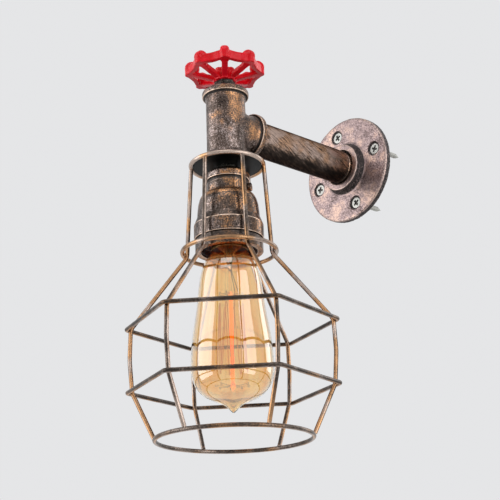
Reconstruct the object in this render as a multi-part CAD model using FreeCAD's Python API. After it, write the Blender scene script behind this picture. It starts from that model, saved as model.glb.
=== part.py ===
import FreeCAD, Part
import math
import os

# Industrial pipe wall light, in millimetres.
# The origin is the centre of the flange's back face, on the wall plane Y = 0.
# The arm runs towards -Y, +Z is up, and the lamp axis is vertical through the tee.

Vector = FreeCAD.Vector
UP = Vector(0, 0, 1)

# ---------------------------------------------------------------- driving sizes
# Pipe, flange and tee
pipe_r = 13.45
pipe_bore_r = 10.85
pipe_thread_r = 12.9
arm_reach = 136.0
thread_engagement = 12.0
thread_gap = 0.05

flange_r = 44.4
flange_thickness = 5.9
flange_edge_chamfer = 0.9
hub_base_r = 20.9
hub_top_r = 19.2
hub_height = 7.4
hub_recess_r = 14.6
hub_recess_depth = 2.6
hub_fillet = 2.0
pipe_end_inset = 1.0
pipe_step_before_hub = 2.2

screw_circle_r = 32.7
screw_count = 4
flange_turn = 14.1
screw_shank_r = 2.1
screw_neck_r = 2.4
screw_head_r = 4.6
screw_hole_r = 2.75
screw_sink_r = 6.0
screw_length = 30.0
screw_point_length = 5.0
drive_slot_width = 1.2
drive_slot_length = 5.2
drive_slot_depth = 1.5
drive_turn = 25.0
drive_turn_step = 40.0

tee_r = 14.95
tee_half_length = 29.5
tee_branch_reach = 27.0
tee_bore_r = 11.8
bead_r = 17.75
bead_height = 4.4
bead_cove = 3.2
bead_cove_mid_r = 15.8
bead_cove_mid = 1.4
bead_root_r = 15.3
bead_edge_chamfer = 0.7
tee_fillet = 3.0

# How near two measured sizes are taken as the same
match_gap = 0.01

# Valve side, above the tee
bushing_collar_height = 2.0
bushing_collar_r = 11.0
bushing_cavity_r = 8.0
bushing_cap_thickness = 4.0
packing_nut_flats = 14.4
packing_nut_height = 7.1
packing_nut_crown_r = 6.9
packing_nut_crown_slope = 0.5
stem_r = 4.0
stem_gap = 0.06
stem_collar_r = 6.4
stem_collar_height = 2.4
stem_end_play = 0.3
stem_tail = 2.5
stem_square = 6.0
stem_thread_r = 2.5
stem_thread_spare = 1.4

hub_wheel_r = 8.8
hub_wheel_height = 10.0
wheel_seat_height = 7.0
wheel_seat_r = 5.8
hub_flute_r = 1.7
hub_flute_offset = 0.5
wheel_lobes = 8
wheel_turn = -40.2
rim_mid_r = 27.7
rim_wave = 1.2
rim_wall = 3.8
rim_height = 6.9
rim_rise = 6.0
rim_points_per_lobe = 6
lobe_centre_r = 25.8
lobe_r = 3.4
lobe_half_length = 4.8
lobe_height = 5.8
lobe_disc_r = 5.75
lobe_disc_centre_r = 25.0
lobe_disc_round = 2.4
lobe_pocket_r = 2.1
lobe_pocket_depth = 4.5
spoke_width = 4.7
spoke_height = 4.2
spoke_taper = 1.0
spoke_hub_overlap = 1.5
spoke_hub_rise = 0.8
spoke_lobe_overlap = 0.5
wheel_washer_r = 5.2
wheel_washer_thickness = 0.8
wheel_nut_flats = 8.0
wheel_nut_height = 4.0

# Lamp side, below the tee
plug_lip_r = 14.9
plug_lip_thickness = 0.9
tube_r = 4.9
tube_bore_r = 3.6
tube_top_above_plug = 5.5
locknut_flats = 14.0
locknut_height = 3.2
tube_tail_in_cap = 1.2

# Cage
# The rings' drops are measured down from the top ring.
wire_r = 1.6
weld_gap = 0.02
seat_gap = 0.12
cage_disc_thickness = 1.5
top_ring_r = 27.3
middle_ring_r = 34.4
middle_ring_drop = 68.1
upper_hexagon_r = 75.6
upper_hexagon_drop = 122.5
lower_hexagon_r = 74.8
lower_hexagon_drop = 168.6
hexagon_corner_bend = 4.0
bottom_ring_r = 55.0
bottom_ring_drop = 204.3
rod_count = 6
rod_turn = 43.2
rod_bend_r = 9.0
rod_bow = 1.6
rod_bow_bend_r = 60.0
rod_kink_below_ring = 2.4

# Socket
cap_top_r = 9.2
cap_shoulder_r = 13.4
cap_shoulder_drop = 1.2
cap_skirt_r = 15.2
cap_dome_height = 3.6
cap_height = 11.8
cap_wall = 1.0
cap_top_thickness = 1.5
spigot_r = 14.6
spigot_length = 5.0
collar_r = 16.6
collar_drop = 3.9
collar_height = 5.0
collar_edge = 0.6
socket_gap = 0.05

# The shell's side, as (radius, depth below its neck)
neck_r = 15.8
neck_height = 6.7
shell_shoulder_r = 19.8
shell_shoulder_drop = 2.4
shell_upper_r = 21.3
shell_upper_drop = 5.6
shell_mid_r = 22.3
shell_mid_drop = 9.4
shell_r = 23.2
shell_straight_drop = 18.4
shell_length = 43.8
shell_wall = 1.0

shade_ring_r = 25.7
shade_ring_drop = 20.2
shade_ring_slope = 5.4
shade_ring_height = 16.2
shade_ring_land = 0.9
shade_ring_edge = 0.8
retaining_ring_r = 24.9
retaining_ring_height = 8.9
retaining_ring_edge = 0.7
retaining_lip = 2.1
mouth_r = 20.7
insulator_body_r = 19.6
insulator_slope = 2.5
insulator_flange_height = 13.4
insulator_rim_depth = 4.9
insulator_bore_r = 14.0
insulator_bore_depth = 25.5
insulator_floor_thickness = 5.0
contact_shell_wall = 0.35
contact_shell_length = 23.5
lock_screw_turn = 33.0
lock_screw_drop = 3.3
lock_screw_r = 1.5
lock_screw_head_r = 3.2
lock_screw_head_height = 2.4
terminal_offset = 9.0
terminal_screw_r = 2.6
terminal_shank_r = 1.3
terminal_height = 3.5
tongue_width = 5.0
tongue_thickness = 0.5
tongue_reach = 5.5
tongue_leaf = 8.0
tongue_drop = 2.9
rivet_r = 1.5
rivet_head_r = 3.0
rivet_head_height = 0.8

# Bulb; depths are measured down from the end of its screw cap, and rises up from its tip
bulb_contact_gap = 0.3
bulb_contact_r = 4.6
bulb_contact_height = 1.8
bulb_contact_edge = 0.6
bulb_insulator_height = 4.4
bulb_insulator_top_r = 5.4
bulb_cap_gap = 0.5
bulb_cap_wall = 0.3
bulb_cap_length = 20.7
bulb_cap_slope = 3.0
bulb_neck_gap = 0.2
bulb_neck_in_cap = 4.0
bulb_shoulder_r = 18.8
bulb_shoulder_depth = 10.8
bulb_taper_r = 24.4
bulb_taper_depth = 41.0
bulb_swell_r = 28.4
bulb_swell_depth = 68.4
bulb_r = 29.4
bulb_widest_depth = 84.0
bulb_belly_r = 27.6
bulb_belly_rise = 20.9
bulb_turn_r = 24.4
bulb_turn_rise = 15.7
bulb_nose_r = 13.8
bulb_nose_rise = 8.5
bulb_point_r = 7.3
bulb_point_rise = 5.7
bulb_pip_r = 3.6
bulb_pip_rise = 2.5
bulb_tip_r = 1.2
bulb_tip_depth = 119.3
bulb_tip_round = 0.6
glass_wall = 0.8
mount_flare_slope = 1.6
mount_flare_height = 5.0
mount_r = 5.2
mount_press_depth = 6.9
mount_rod_start_depth = 15.4
mount_rod_r = 1.25
mount_rod_end_rise = 16.4
mount_button = 1.0
mount_button_half_height = 2.0
filament_r = 0.28
filament_legs = 8
filament_opening = 20.0
filament_top_depth = 33.9
filament_top_r = 8.4
filament_bottom_rise = 18.9
filament_bottom_r = 11.6
hook_r = 0.3
lead_in_depth = 17.0
lead_in_start_r = 2.0

# Wiring inside the pipe
lead_r = 1.0
lead_spacing = 1.5
lead_bend_r = 8.0
lead_rise = 4.0
lead_spread = 18.0
connector_width = 17.4
connector_length = 20.0
connector_height = 11.0
connector_drop = 6.0
connector_y = -26.0
clamp_spacing = 4.2
clamp_r = 2.4
clamp_bore_r = 1.1
clamp_screw_r = 1.6
clamp_screw_low = 1.3
clamp_screw_shares = (0.25, 0.75)

# ---------------------------------------------------------------- derived sizes
hub_front = flange_thickness + hub_height
tee_end = tee_half_length
plug_top = thread_engagement - tee_half_length
plug_end = -tee_half_length - plug_lip_thickness
disc_bottom = plug_end - cage_disc_thickness

top_ring_z = plug_end - cage_disc_thickness / 2
middle_ring_z = top_ring_z - middle_ring_drop
upper_hexagon_z = top_ring_z - upper_hexagon_drop
lower_hexagon_z = top_ring_z - lower_hexagon_drop
bottom_ring_z = top_ring_z - bottom_ring_drop

cap_top = disc_bottom - locknut_height
cap_inside = cap_top - cap_top_thickness
cap_skirt_end = cap_top - cap_height
tube_end = cap_inside - locknut_height - tube_tail_in_cap
neck_end = cap_skirt_end - neck_height
shell_end = neck_end - shell_length
mouth_z = shell_end - retaining_lip
lock_screw_z = cap_skirt_end - lock_screw_drop
insulator_end = shell_end + insulator_rim_depth
insulator_floor = insulator_end + insulator_bore_depth
insulator_top = insulator_floor + insulator_floor_thickness

stem_seat = tee_end + bushing_collar_height
wheel_base = stem_seat + packing_nut_height + stem_end_play
wheel_top = wheel_base + wheel_seat_height
hub_top = wheel_base + hub_wheel_height

contact_shell_r = insulator_bore_r - socket_gap
tongue_contact = insulator_floor - tongue_thickness - tongue_drop
bulb_top = tongue_contact - bulb_contact_gap
bulb_insulator_z = bulb_top - bulb_contact_height
bulb_cap_top = bulb_insulator_z - bulb_insulator_height
bulb_cap_end = bulb_cap_top - bulb_cap_length
bulb_cap_r = contact_shell_r - contact_shell_wall - bulb_cap_gap
bulb_neck_r = bulb_cap_r - bulb_cap_wall - bulb_neck_gap
filament_top_z = bulb_cap_end - filament_top_depth
filament_bottom_z = bulb_cap_end - bulb_tip_depth + filament_bottom_rise
lamp_axis = Vector(0, -arm_reach, 0)

# ---------------------------------------------------------------- shape helpers


def turned(points):
    """Solid of revolution about Z from a closed outline of (radius, height) pairs."""
    corners = [Vector(r, 0, z) for r, z in points]
    face = Part.Face(Part.makePolygon(corners + corners[:1]))
    return face.revolve(Vector(0, 0, 0), UP, 360)


def round_bar(radius, low, high):
    return Part.makeCylinder(radius, high - low, Vector(0, 0, low))


def tube(outer, inner, low, high):
    return round_bar(outer, low, high).cut(round_bar(inner, low, high))


def prism(sides, flats, low, high):
    """Upright bar with a regular outline, as wide across its flats as stated."""
    corner_r = flats / 2 / math.cos(math.pi / sides)
    corners = [around(corner_r, 360.0 * i / sides, low) for i in range(sides + 1)]
    return Part.Face(Part.makePolygon(corners)).extrude(Vector(0, 0, high - low))


def around(radius, degrees, z=0.0):
    angle = math.radians(degrees)
    return Vector(radius * math.cos(angle), radius * math.sin(angle), z)


def turn_copies(shape, count, start=0.0):
    copies = []
    for i in range(count):
        copy = shape.copy()
        copy.rotate(Vector(0, 0, 0), UP, start + 360.0 * i / count)
        copies.append(copy)
    return copies


def fused(shapes):
    return shapes[0].multiFuse(shapes[1:]).removeSplitter()


def facing_out(shape):
    """Turn a shape built on the XY plane so that its +Z points out of the wall, to -Y."""
    shape.rotate(Vector(0, 0, 0), Vector(1, 0, 0), 90)
    return shape


def bent_path(points, bend_radii):
    """Straight runs through the points, joined by tangent arcs at the inner points."""
    edges = []
    start = points[0]
    for before, corner, after, radius in zip(points, points[1:], points[2:], bend_radii):
        towards = (before - corner).normalize()
        away = (after - corner).normalize()
        half_turn = (math.pi - towards.getAngle(away)) / 2
        run = radius * math.tan(half_turn)
        bisector = (towards + away).normalize()
        middle = corner + bisector * (radius / math.cos(half_turn) - radius)
        first, last = corner + towards * run, corner + away * run
        edges.append(Part.LineSegment(start, first).toShape())
        edges.append(Part.Arc(first, middle, last).toShape())
        start = last
    edges.append(Part.LineSegment(start, points[-1]).toShape())
    return Part.Wire(edges)


def swept_wire(path, radius):
    """Round wire of one radius along a path."""
    first = path.OrderedEdges[0]
    start = first.valueAt(first.FirstParameter)
    section = Part.Wire(Part.makeCircle(radius, start, first.tangentAt(first.FirstParameter)))
    return path.makePipeShell([section], True, False)


def straight_wire(start, end, radius):
    return Part.makeCylinder(radius, (end - start).Length, start, end - start)


def save(name, shape, place=Vector(0, 0, 0)):
    moved = shape.copy()
    moved.translate(place)
    moved.exportStep("parts/" + name + ".step")
    print(name, len(moved.Solids), "solids", round(moved.Volume, 1), "mm3", moved.isValid())


# ---------------------------------------------------------------- wall side


def screw_places():
    return [around(screw_circle_r, flange_turn + 360.0 * i / screw_count) for i in range(screw_count)]


def wall_flange():
    plate = turned([(0, 0), (flange_r, 0), (flange_r, flange_thickness - flange_edge_chamfer),
                    (flange_r - flange_edge_chamfer, flange_thickness),
                    (hub_base_r + hub_fillet, flange_thickness),
                    (hub_base_r, flange_thickness + hub_fillet / 2),
                    (hub_top_r, hub_front), (0, hub_front)])
    bore = round_bar(pipe_thread_r + thread_gap, 0, hub_front)
    recess = round_bar(hub_recess_r, hub_front - hub_recess_depth, hub_front)
    holes = []
    for place in screw_places():
        sink_depth = screw_sink_r - screw_hole_r
        hole = round_bar(screw_hole_r, 0, flange_thickness)
        sink = Part.makeCone(screw_hole_r, screw_sink_r, sink_depth,
                             Vector(0, 0, flange_thickness - sink_depth))
        hole = hole.fuse(sink)
        hole.translate(place)
        holes.append(hole)
    return facing_out(plate.cut([bore, recess] + holes))


def wall_screw():
    """Countersunk wood screw, its head seated in the flange and its thread behind the back face."""
    head_top = flange_thickness - (screw_sink_r - screw_head_r)
    head_depth = screw_head_r - screw_neck_r
    tip = head_top - screw_length
    body = turned([(0, tip), (screw_shank_r, tip + screw_point_length), (screw_shank_r, 0),
                   (screw_neck_r, 0), (screw_neck_r, head_top - head_depth),
                   (screw_head_r, head_top), (0, head_top)])
    slot = Part.makeBox(drive_slot_length, drive_slot_width, drive_slot_depth,
                        Vector(-drive_slot_length / 2, -drive_slot_width / 2, head_top - drive_slot_depth))
    cross = slot.copy()
    cross.rotate(Vector(0, 0, 0), UP, 90)
    return body.cut([slot, cross])


def wall_screws():
    screws = []
    for i, place in enumerate(screw_places()):
        screw = wall_screw()
        screw.rotate(Vector(0, 0, 0), UP, drive_turn + drive_turn_step * i)
        screw.translate(place)
        screws.append(screw)
    return facing_out(Part.makeCompound(screws))


def arm_pipe():
    """Iron pipe, its thread ends a little smaller than the pipe itself."""
    wall_step = hub_front + pipe_step_before_hub
    tee_step = arm_reach - tee_branch_reach
    inner_end = tee_step + thread_engagement
    body = turned([(pipe_bore_r, pipe_end_inset), (pipe_thread_r, pipe_end_inset),
                   (pipe_thread_r, wall_step), (pipe_r, wall_step + pipe_r - pipe_thread_r),
                   (pipe_r, tee_step), (pipe_thread_r, tee_step),
                   (pipe_thread_r, inner_end), (pipe_bore_r, inner_end)])
    return facing_out(body)


# ---------------------------------------------------------------- tee


def tee_run(end, bead_start):
    """Half of the tee's run, or its branch: a round body with a banded bead at its end."""
    return turned([(0, 0), (tee_r, 0), (tee_r, bead_start - bead_cove),
                   (bead_cove_mid_r, bead_start - bead_cove_mid), (bead_root_r, bead_start),
                   (bead_r, bead_start), (bead_r, end - bead_edge_chamfer),
                   (bead_r - bead_edge_chamfer, end), (0, end)])


def pipe_tee():
    upper = tee_run(tee_end, tee_end - bead_height)
    lower = upper.mirror(Vector(0, 0, 0), UP)
    branch = tee_run(tee_branch_reach, tee_branch_reach - bead_height)
    branch.rotate(Vector(0, 0, 0), Vector(1, 0, 0), -90)
    body = fused([upper, lower, branch])
    seams = [edge for edge in body.Edges if is_branch_seam(edge)]
    body = body.makeFillet(tee_fillet, seams)
    thread_r = pipe_thread_r + thread_gap
    bores = [round_bar(tee_bore_r, -tee_end, tee_end),
             round_bar(thread_r, tee_end - thread_engagement, tee_end),
             round_bar(thread_r, -tee_end, thread_engagement - tee_end)]
    branch_bore = round_bar(tee_bore_r, 0, tee_branch_reach)
    branch_thread = round_bar(thread_r, tee_branch_reach - thread_engagement, tee_branch_reach)
    for bore in (branch_bore, branch_thread):
        bore.rotate(Vector(0, 0, 0), Vector(1, 0, 0), -90)
        bores.append(bore)
    return body.cut(bores)


def is_branch_seam(edge):
    """True for the curve where the branch meets the run."""
    middle = edge.valueAt((edge.FirstParameter + edge.LastParameter) / 2)
    on_run = abs(math.hypot(middle.x, middle.y) - tee_r) < match_gap
    on_branch = abs(math.hypot(middle.x, middle.z) - tee_r) < match_gap
    return on_run and on_branch and middle.y > 0


def top_bushing():
    """Plug in the tee's top end, with a cavity for the stem's collar."""
    low = tee_end - thread_engagement
    ceiling = stem_seat - bushing_cap_thickness
    return turned([(bushing_cavity_r, low), (pipe_thread_r, low), (pipe_thread_r, tee_end),
                   (bushing_collar_r, tee_end), (bushing_collar_r, stem_seat),
                   (stem_r + stem_gap, stem_seat), (stem_r + stem_gap, ceiling),
                   (bushing_cavity_r, ceiling)])


def packing_nut():
    top = stem_seat + packing_nut_height
    nut = prism(6, packing_nut_flats, stem_seat, top)
    outside = packing_nut_flats
    crown_drop = packing_nut_crown_slope * (outside - packing_nut_crown_r)
    crown = turned([(0, stem_seat), (outside, stem_seat), (outside, top - crown_drop),
                    (packing_nut_crown_r, top), (0, top)])
    return nut.common(crown).cut(round_bar(stem_r + stem_gap, stem_seat, top))


def valve_stem():
    collar_top = stem_seat - bushing_cap_thickness - stem_end_play
    collar_low = collar_top - stem_collar_height
    nut_top = wheel_top + wheel_washer_thickness + wheel_nut_height
    shaft = turned([(0, collar_low - stem_tail), (stem_r, collar_low - stem_tail), (stem_r, collar_low),
                    (stem_collar_r, collar_low), (stem_collar_r, collar_top), (stem_r, collar_top),
                    (stem_r, wheel_base), (0, wheel_base)])
    square = prism(4, stem_square, wheel_base, wheel_top)
    square.rotate(Vector(0, 0, 0), UP, wheel_turn)
    thread = round_bar(stem_thread_r, wheel_top, nut_top + stem_thread_spare)
    return fused([shaft, square, thread])


# ---------------------------------------------------------------- handwheel


def rim_outline(inset):
    """Closed smooth curve with one outward wave per lobe."""
    count = wheel_lobes * rim_points_per_lobe
    points = []
    for i in range(count):
        wave = math.cos(2 * math.pi * i / rim_points_per_lobe)
        points.append(around(rim_mid_r + rim_wave * wave - inset, 360.0 * i / count))
    curve = Part.BSplineCurve()
    curve.interpolate(points, PeriodicFlag=True)
    return Part.Wire(curve.toShape())


def wheel_rim(low):
    outer = Part.Face(rim_outline(0)).extrude(Vector(0, 0, rim_height))
    inner = Part.Face(rim_outline(rim_wall)).extrude(Vector(0, 0, rim_height))
    rim = outer.cut(inner)
    rim.translate(Vector(0, 0, low))
    return rim


def wheel_lobe(low):
    """Finger lobe: a slot-shaped foot in the rim with a thick round disc standing on edge in it."""
    spread = lobe_half_length - lobe_r
    foot = Part.makeBox(2 * spread, 2 * lobe_r, lobe_height, Vector(-spread, -lobe_r, low))
    for side in (-spread, spread):
        end = round_bar(lobe_r, low, low + lobe_height)
        end.translate(Vector(side, 0, 0))
        foot = foot.fuse(end)
    foot = foot.removeSplitter()
    foot.translate(Vector(lobe_centre_r, 0, 0))
    disc = round_bar(lobe_disc_r, -lobe_r, lobe_r)
    disc = disc.makeFillet(lobe_disc_round, [e for e in disc.Edges if e.Closed])
    disc.rotate(Vector(0, 0, 0), Vector(1, 0, 0), 90)
    disc.translate(Vector(lobe_disc_centre_r, 0, low + lobe_height))
    return foot.fuse(disc)


def wheel_spoke(rim_low):
    """Spoke that climbs from the hub to the underside of a lobe."""
    hub_side = hub_wheel_r - spoke_hub_overlap
    rim_side = lobe_centre_r - spoke_lobe_overlap
    hub_low = wheel_base + spoke_hub_rise
    corners = [Vector(hub_side, 0, hub_low), Vector(rim_side, 0, rim_low),
               Vector(rim_side, 0, rim_low + spoke_height - spoke_taper),
               Vector(hub_side, 0, hub_low + spoke_height)]
    face = Part.Face(Part.makePolygon(corners + corners[:1]))
    face.translate(Vector(0, -spoke_width / 2, 0))
    return face.extrude(Vector(0, spoke_width, 0))


def handwheel():
    rim_low = wheel_base + rim_rise
    hub = round_bar(hub_wheel_r, wheel_base, hub_top).cut(round_bar(wheel_seat_r, wheel_top, hub_top))
    flute = round_bar(hub_flute_r, wheel_base, hub_top)
    flute.translate(Vector(hub_wheel_r + hub_flute_offset, 0, 0))
    hub = hub.cut(turn_copies(flute, wheel_lobes, 180.0 / wheel_lobes))
    lobes = turn_copies(wheel_lobe(rim_low), wheel_lobes)
    spokes = turn_copies(wheel_spoke(rim_low), wheel_lobes)
    wheel = fused([hub, wheel_rim(rim_low)] + lobes + spokes)
    lobe_top = rim_low + lobe_height + lobe_disc_r
    pocket = round_bar(lobe_pocket_r, lobe_top - lobe_pocket_depth, lobe_top)
    pocket.translate(Vector(lobe_disc_centre_r, 0, 0))
    square_hole = prism(4, stem_square + 2 * thread_gap, wheel_base, wheel_top)
    wheel = wheel.cut(turn_copies(pocket, wheel_lobes) + [square_hole])
    wheel.rotate(Vector(0, 0, 0), UP, wheel_turn)
    return wheel


def wheel_washer():
    return tube(wheel_washer_r, stem_thread_r + thread_gap, wheel_top, wheel_top + wheel_washer_thickness)


def wheel_nut():
    low = wheel_top + wheel_washer_thickness
    nut = prism(6, wheel_nut_flats, low, low + wheel_nut_height)
    return nut.cut(round_bar(stem_thread_r + thread_gap, low, low + wheel_nut_height))


# ---------------------------------------------------------------- hanger under the tee


def bottom_bushing():
    """Plug in the tee's lower end; its lip keeps the cage disc off the tee."""
    return turned([(tube_r + thread_gap, plug_end), (plug_lip_r, plug_end), (plug_lip_r, -tee_end),
                   (pipe_thread_r, -tee_end), (pipe_thread_r, plug_top), (tube_r + thread_gap, plug_top)])


def threaded_tube():
    return tube(tube_r, tube_bore_r, tube_end, plug_top + tube_top_above_plug)


def tube_locknuts():
    """One nut on the plug, one under the cage disc and one inside the socket cap."""
    nut = prism(6, locknut_flats, 0, locknut_height).cut(round_bar(tube_r + thread_gap, 0, locknut_height))
    nuts = []
    for low in (plug_top, cap_top, cap_inside - locknut_height):
        placed = nut.copy()
        placed.translate(Vector(0, 0, low))
        nuts.append(placed)
    return Part.makeCompound(nuts)


# ---------------------------------------------------------------- cage


def cage_disc():
    return tube(top_ring_r - wire_r - weld_gap, tube_r + thread_gap, disc_bottom, plug_end)


def cage_ring(radius, z):
    return Part.makeTorus(radius, wire_r, Vector(0, 0, z))


def cage_hexagon(tip_r, z):
    """Closed hexagon of wire with bent corners; tip_r is the wire's centre at a corner."""
    corner_r = tip_r + bend_offset(hexagon_corner_bend, 2 * math.pi / rod_count)
    corners = [around(corner_r, rod_turn + 360.0 * i / rod_count, z) for i in range(rod_count)]
    start = (corners[0] + corners[-1]) * 0.5
    path = bent_path([start] + corners + [start], [hexagon_corner_bend] * rod_count)
    return swept_wire(path, wire_r)


def rod_seat_r(tip_r):
    """Radius at which a rod nestles inside a hexagon's bent corner."""
    inner_bend = hexagon_corner_bend - wire_r
    return tip_r - hexagon_corner_bend + inner_bend - wire_r - seat_gap


def bend_offset(radius, turn):
    """How far a bend's arc stays inside its corner."""
    return radius * (1 / math.cos(turn / 2) - 1)


def cage_rod():
    """Upright wire of the cage in the XZ plane, from the top ring to the bottom ring."""
    top = Vector(top_ring_r, 0, top_ring_z - wire_r - weld_gap)
    kink = Vector(middle_ring_r - 2 * wire_r - weld_gap, 0, middle_ring_z - rod_kink_below_ring)
    upper_r, lower_r = rod_seat_r(upper_hexagon_r), rod_seat_r(lower_hexagon_r)
    middle_r = (upper_r + lower_r) / 2 + rod_bow
    upper = Vector(upper_r, 0, upper_hexagon_z)
    middle = Vector(middle_r, 0, (upper_hexagon_z + lower_hexagon_z) / 2)
    lower = Vector(lower_r, 0, lower_hexagon_z)
    ring = Vector(bottom_ring_r, 0, bottom_ring_z)
    upper_turn = math.pi - (kink - upper).getAngle(middle - upper)
    lower_turn = math.pi - (middle - lower).getAngle(ring - lower)
    upper.x += bend_offset(rod_bend_r, upper_turn)
    lower.x += bend_offset(rod_bend_r, lower_turn)
    back = (lower - ring).normalize()
    end = ring + back * (wire_r + weld_gap)
    path = bent_path([top, kink, upper, middle, lower, end],
                     [rod_bend_r, rod_bend_r, rod_bow_bend_r, rod_bend_r])
    return swept_wire(path, wire_r)


# ---------------------------------------------------------------- socket


def socket_cap():
    """Domed cap with a spigot that fits inside the shell's neck."""
    dome_end = cap_top - cap_dome_height
    hole = tube_r + thread_gap
    spigot_end = cap_skirt_end - spigot_length
    spigot_bore = spigot_r - cap_wall
    cap = turned([(hole, cap_top), (cap_top_r, cap_top), (cap_shoulder_r, cap_top - cap_shoulder_drop),
                  (cap_skirt_r, dome_end), (cap_skirt_r, cap_skirt_end), (spigot_r, cap_skirt_end),
                  (spigot_r, spigot_end), (spigot_bore, spigot_end), (spigot_bore, dome_end),
                  (cap_shoulder_r - cap_wall, cap_inside - cap_shoulder_drop / 2),
                  (cap_top_r, cap_inside), (hole, cap_inside)])
    return cap.cut(lock_screw_hole())


def lock_screw_hole():
    return radial_bar(lock_screw_r + thread_gap, spigot_r - 2 * cap_wall, neck_r + cap_wall)


def radial_bar(radius, inner, outer):
    """Round bar that points out from the lamp axis at the lock screw's place."""
    start = around(inner, lock_screw_turn, lock_screw_z)
    end = around(outer, lock_screw_turn, lock_screw_z)
    return straight_wire(start, end, radius)


def socket_collar():
    top = cap_top - collar_drop
    low = top - collar_height
    bore = cap_skirt_r + socket_gap
    edge = collar_edge
    return turned([(bore, top), (collar_r - edge, top), (collar_r, top - edge),
                   (collar_r, low + edge), (collar_r - edge, low), (bore, low)])


def shell_side(inset):
    """The bell's side from its shoulder down to its straight wall."""
    return [(shell_shoulder_r - inset, neck_end - shell_shoulder_drop - inset),
            (shell_upper_r - inset, neck_end - shell_upper_drop - inset / 2),
            (shell_mid_r - inset, neck_end - shell_mid_drop),
            (shell_r - inset, neck_end - shell_straight_drop)]


def socket_shell():
    """Bell-shaped shell: a neck over the spigot, a dome and a straight wall."""
    neck_bore = spigot_r + socket_gap
    top = cap_skirt_end - socket_gap
    outside = [(neck_bore, top), (neck_r, top), (neck_r, neck_end)] + shell_side(0)
    inside = shell_side(shell_wall) + [(shell_r - shell_wall, shell_end)]
    shell = turned(outside + [(shell_r, shell_end)] + inside[::-1] + [(neck_bore, neck_end - shell_wall)])
    return shell.cut(lock_screw_hole())


def shade_ring():
    """Wide threaded ring with a sloped shoulder and a turned lower edge."""
    bore = shell_r + socket_gap
    top = neck_end - shade_ring_drop
    low = top - shade_ring_height
    edge = shade_ring_edge
    return turned([(bore, top), (shell_r + shade_ring_land, top), (shade_ring_r, top - shade_ring_slope),
                   (shade_ring_r, low + edge), (shade_ring_r - edge, low), (bore, low)])


def retaining_ring():
    """Lower ring that holds the insulator in the shell; its lip is the socket's mouth."""
    bore = shell_r + socket_gap
    inner_step = shell_end - socket_gap
    top = mouth_z + retaining_ring_height
    edge = retaining_ring_edge
    return turned([(bore, top), (retaining_ring_r, top), (retaining_ring_r, mouth_z + edge),
                   (retaining_ring_r - edge, mouth_z), (mouth_r, mouth_z), (mouth_r, inner_step),
                   (bore, inner_step)])


def socket_insulator():
    """Moulded insert: a cup for the contact shell, with a flange that stands on the lower ring."""
    flange_r = shell_r - shell_wall - socket_gap
    flange_top = insulator_end + insulator_flange_height - insulator_rim_depth
    body = turned([(0, insulator_top), (insulator_body_r - insulator_slope, insulator_top),
                   (insulator_body_r, insulator_top - insulator_slope), (insulator_body_r, flange_top),
                   (flange_r, flange_top), (flange_r, shell_end), (mouth_r, shell_end),
                   (mouth_r, insulator_end), (insulator_bore_r, insulator_end),
                   (insulator_bore_r, insulator_floor), (0, insulator_floor)])
    rivet_hole = round_bar(rivet_r + thread_gap, insulator_floor, insulator_top)
    screw_holes = [terminal_post(side, terminal_shank_r + thread_gap, insulator_floor, insulator_top)
                   for side in (-1, 1)]
    return body.cut([rivet_hole] + screw_holes)


def terminal_post(side, radius, low, high):
    post = round_bar(radius, low, high)
    post.translate(Vector(side * terminal_offset, 0, 0))
    return post


def terminal_screws():
    screws = []
    for side in (-1, 1):
        shank = terminal_post(side, terminal_shank_r, insulator_floor, insulator_top)
        head = terminal_post(side, terminal_screw_r, insulator_top, insulator_top + terminal_height)
        screws.append(fused([shank, head]))
    return Part.makeCompound(screws)


def contact_shell():
    end = insulator_floor - contact_shell_length
    return tube(contact_shell_r, contact_shell_r - contact_shell_wall, end, insulator_floor)


def centre_contact():
    """Sprung tongue folded back under the insulator's floor, held by a rivet."""
    flat = insulator_floor - tongue_thickness
    inner_edge = tongue_reach - tongue_thickness
    leaf_end = tongue_reach - tongue_leaf
    leaf_top = tongue_contact + tongue_thickness
    outline = [Vector(x, -tongue_width / 2, z) for x, z in (
        (-tongue_reach, insulator_floor), (tongue_reach, insulator_floor), (tongue_reach, tongue_contact),
        (leaf_end, tongue_contact), (leaf_end, leaf_top), (inner_edge, leaf_top), (inner_edge, flat),
        (-tongue_reach, flat))]
    strip = Part.Face(Part.makePolygon(outline + outline[:1])).extrude(Vector(0, tongue_width, 0))
    rivet = round_bar(rivet_r, flat, insulator_top)
    rivet_head = round_bar(rivet_head_r, insulator_top, insulator_top + rivet_head_height)
    return fused([strip, rivet, rivet_head])


def socket_lock_screw():
    shank = radial_bar(lock_screw_r, spigot_r - cap_wall, neck_r + socket_gap)
    head_start = neck_r + socket_gap
    head = radial_bar(lock_screw_head_r, head_start, head_start + lock_screw_head_height)
    return fused([shank, head])


# ---------------------------------------------------------------- bulb


def bulb_contact():
    tip = bulb_top - bulb_contact_height
    return turned([(0, tip), (bulb_contact_r, tip), (bulb_contact_r, bulb_top - bulb_contact_edge),
                   (bulb_contact_r - 2 * bulb_contact_edge, bulb_top), (0, bulb_top)])


def bulb_insulator():
    return turned([(0, bulb_cap_top), (bulb_cap_r - bulb_cap_slope, bulb_cap_top),
                   (bulb_insulator_top_r, bulb_insulator_z), (0, bulb_insulator_z)])


def bulb_cap():
    """Screw cap: a thin cup with a sloped top, open at the glass end."""
    wall = bulb_cap_wall
    slope = bulb_cap_slope
    return turned([(0, bulb_cap_top), (bulb_cap_r - slope, bulb_cap_top), (bulb_cap_r, bulb_cap_top - slope),
                   (bulb_cap_r, bulb_cap_end), (bulb_cap_r - wall, bulb_cap_end),
                   (bulb_cap_r - wall, bulb_cap_top - slope - wall),
                   (bulb_cap_r - slope - wall, bulb_cap_top - wall), (0, bulb_cap_top - wall)])


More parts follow.
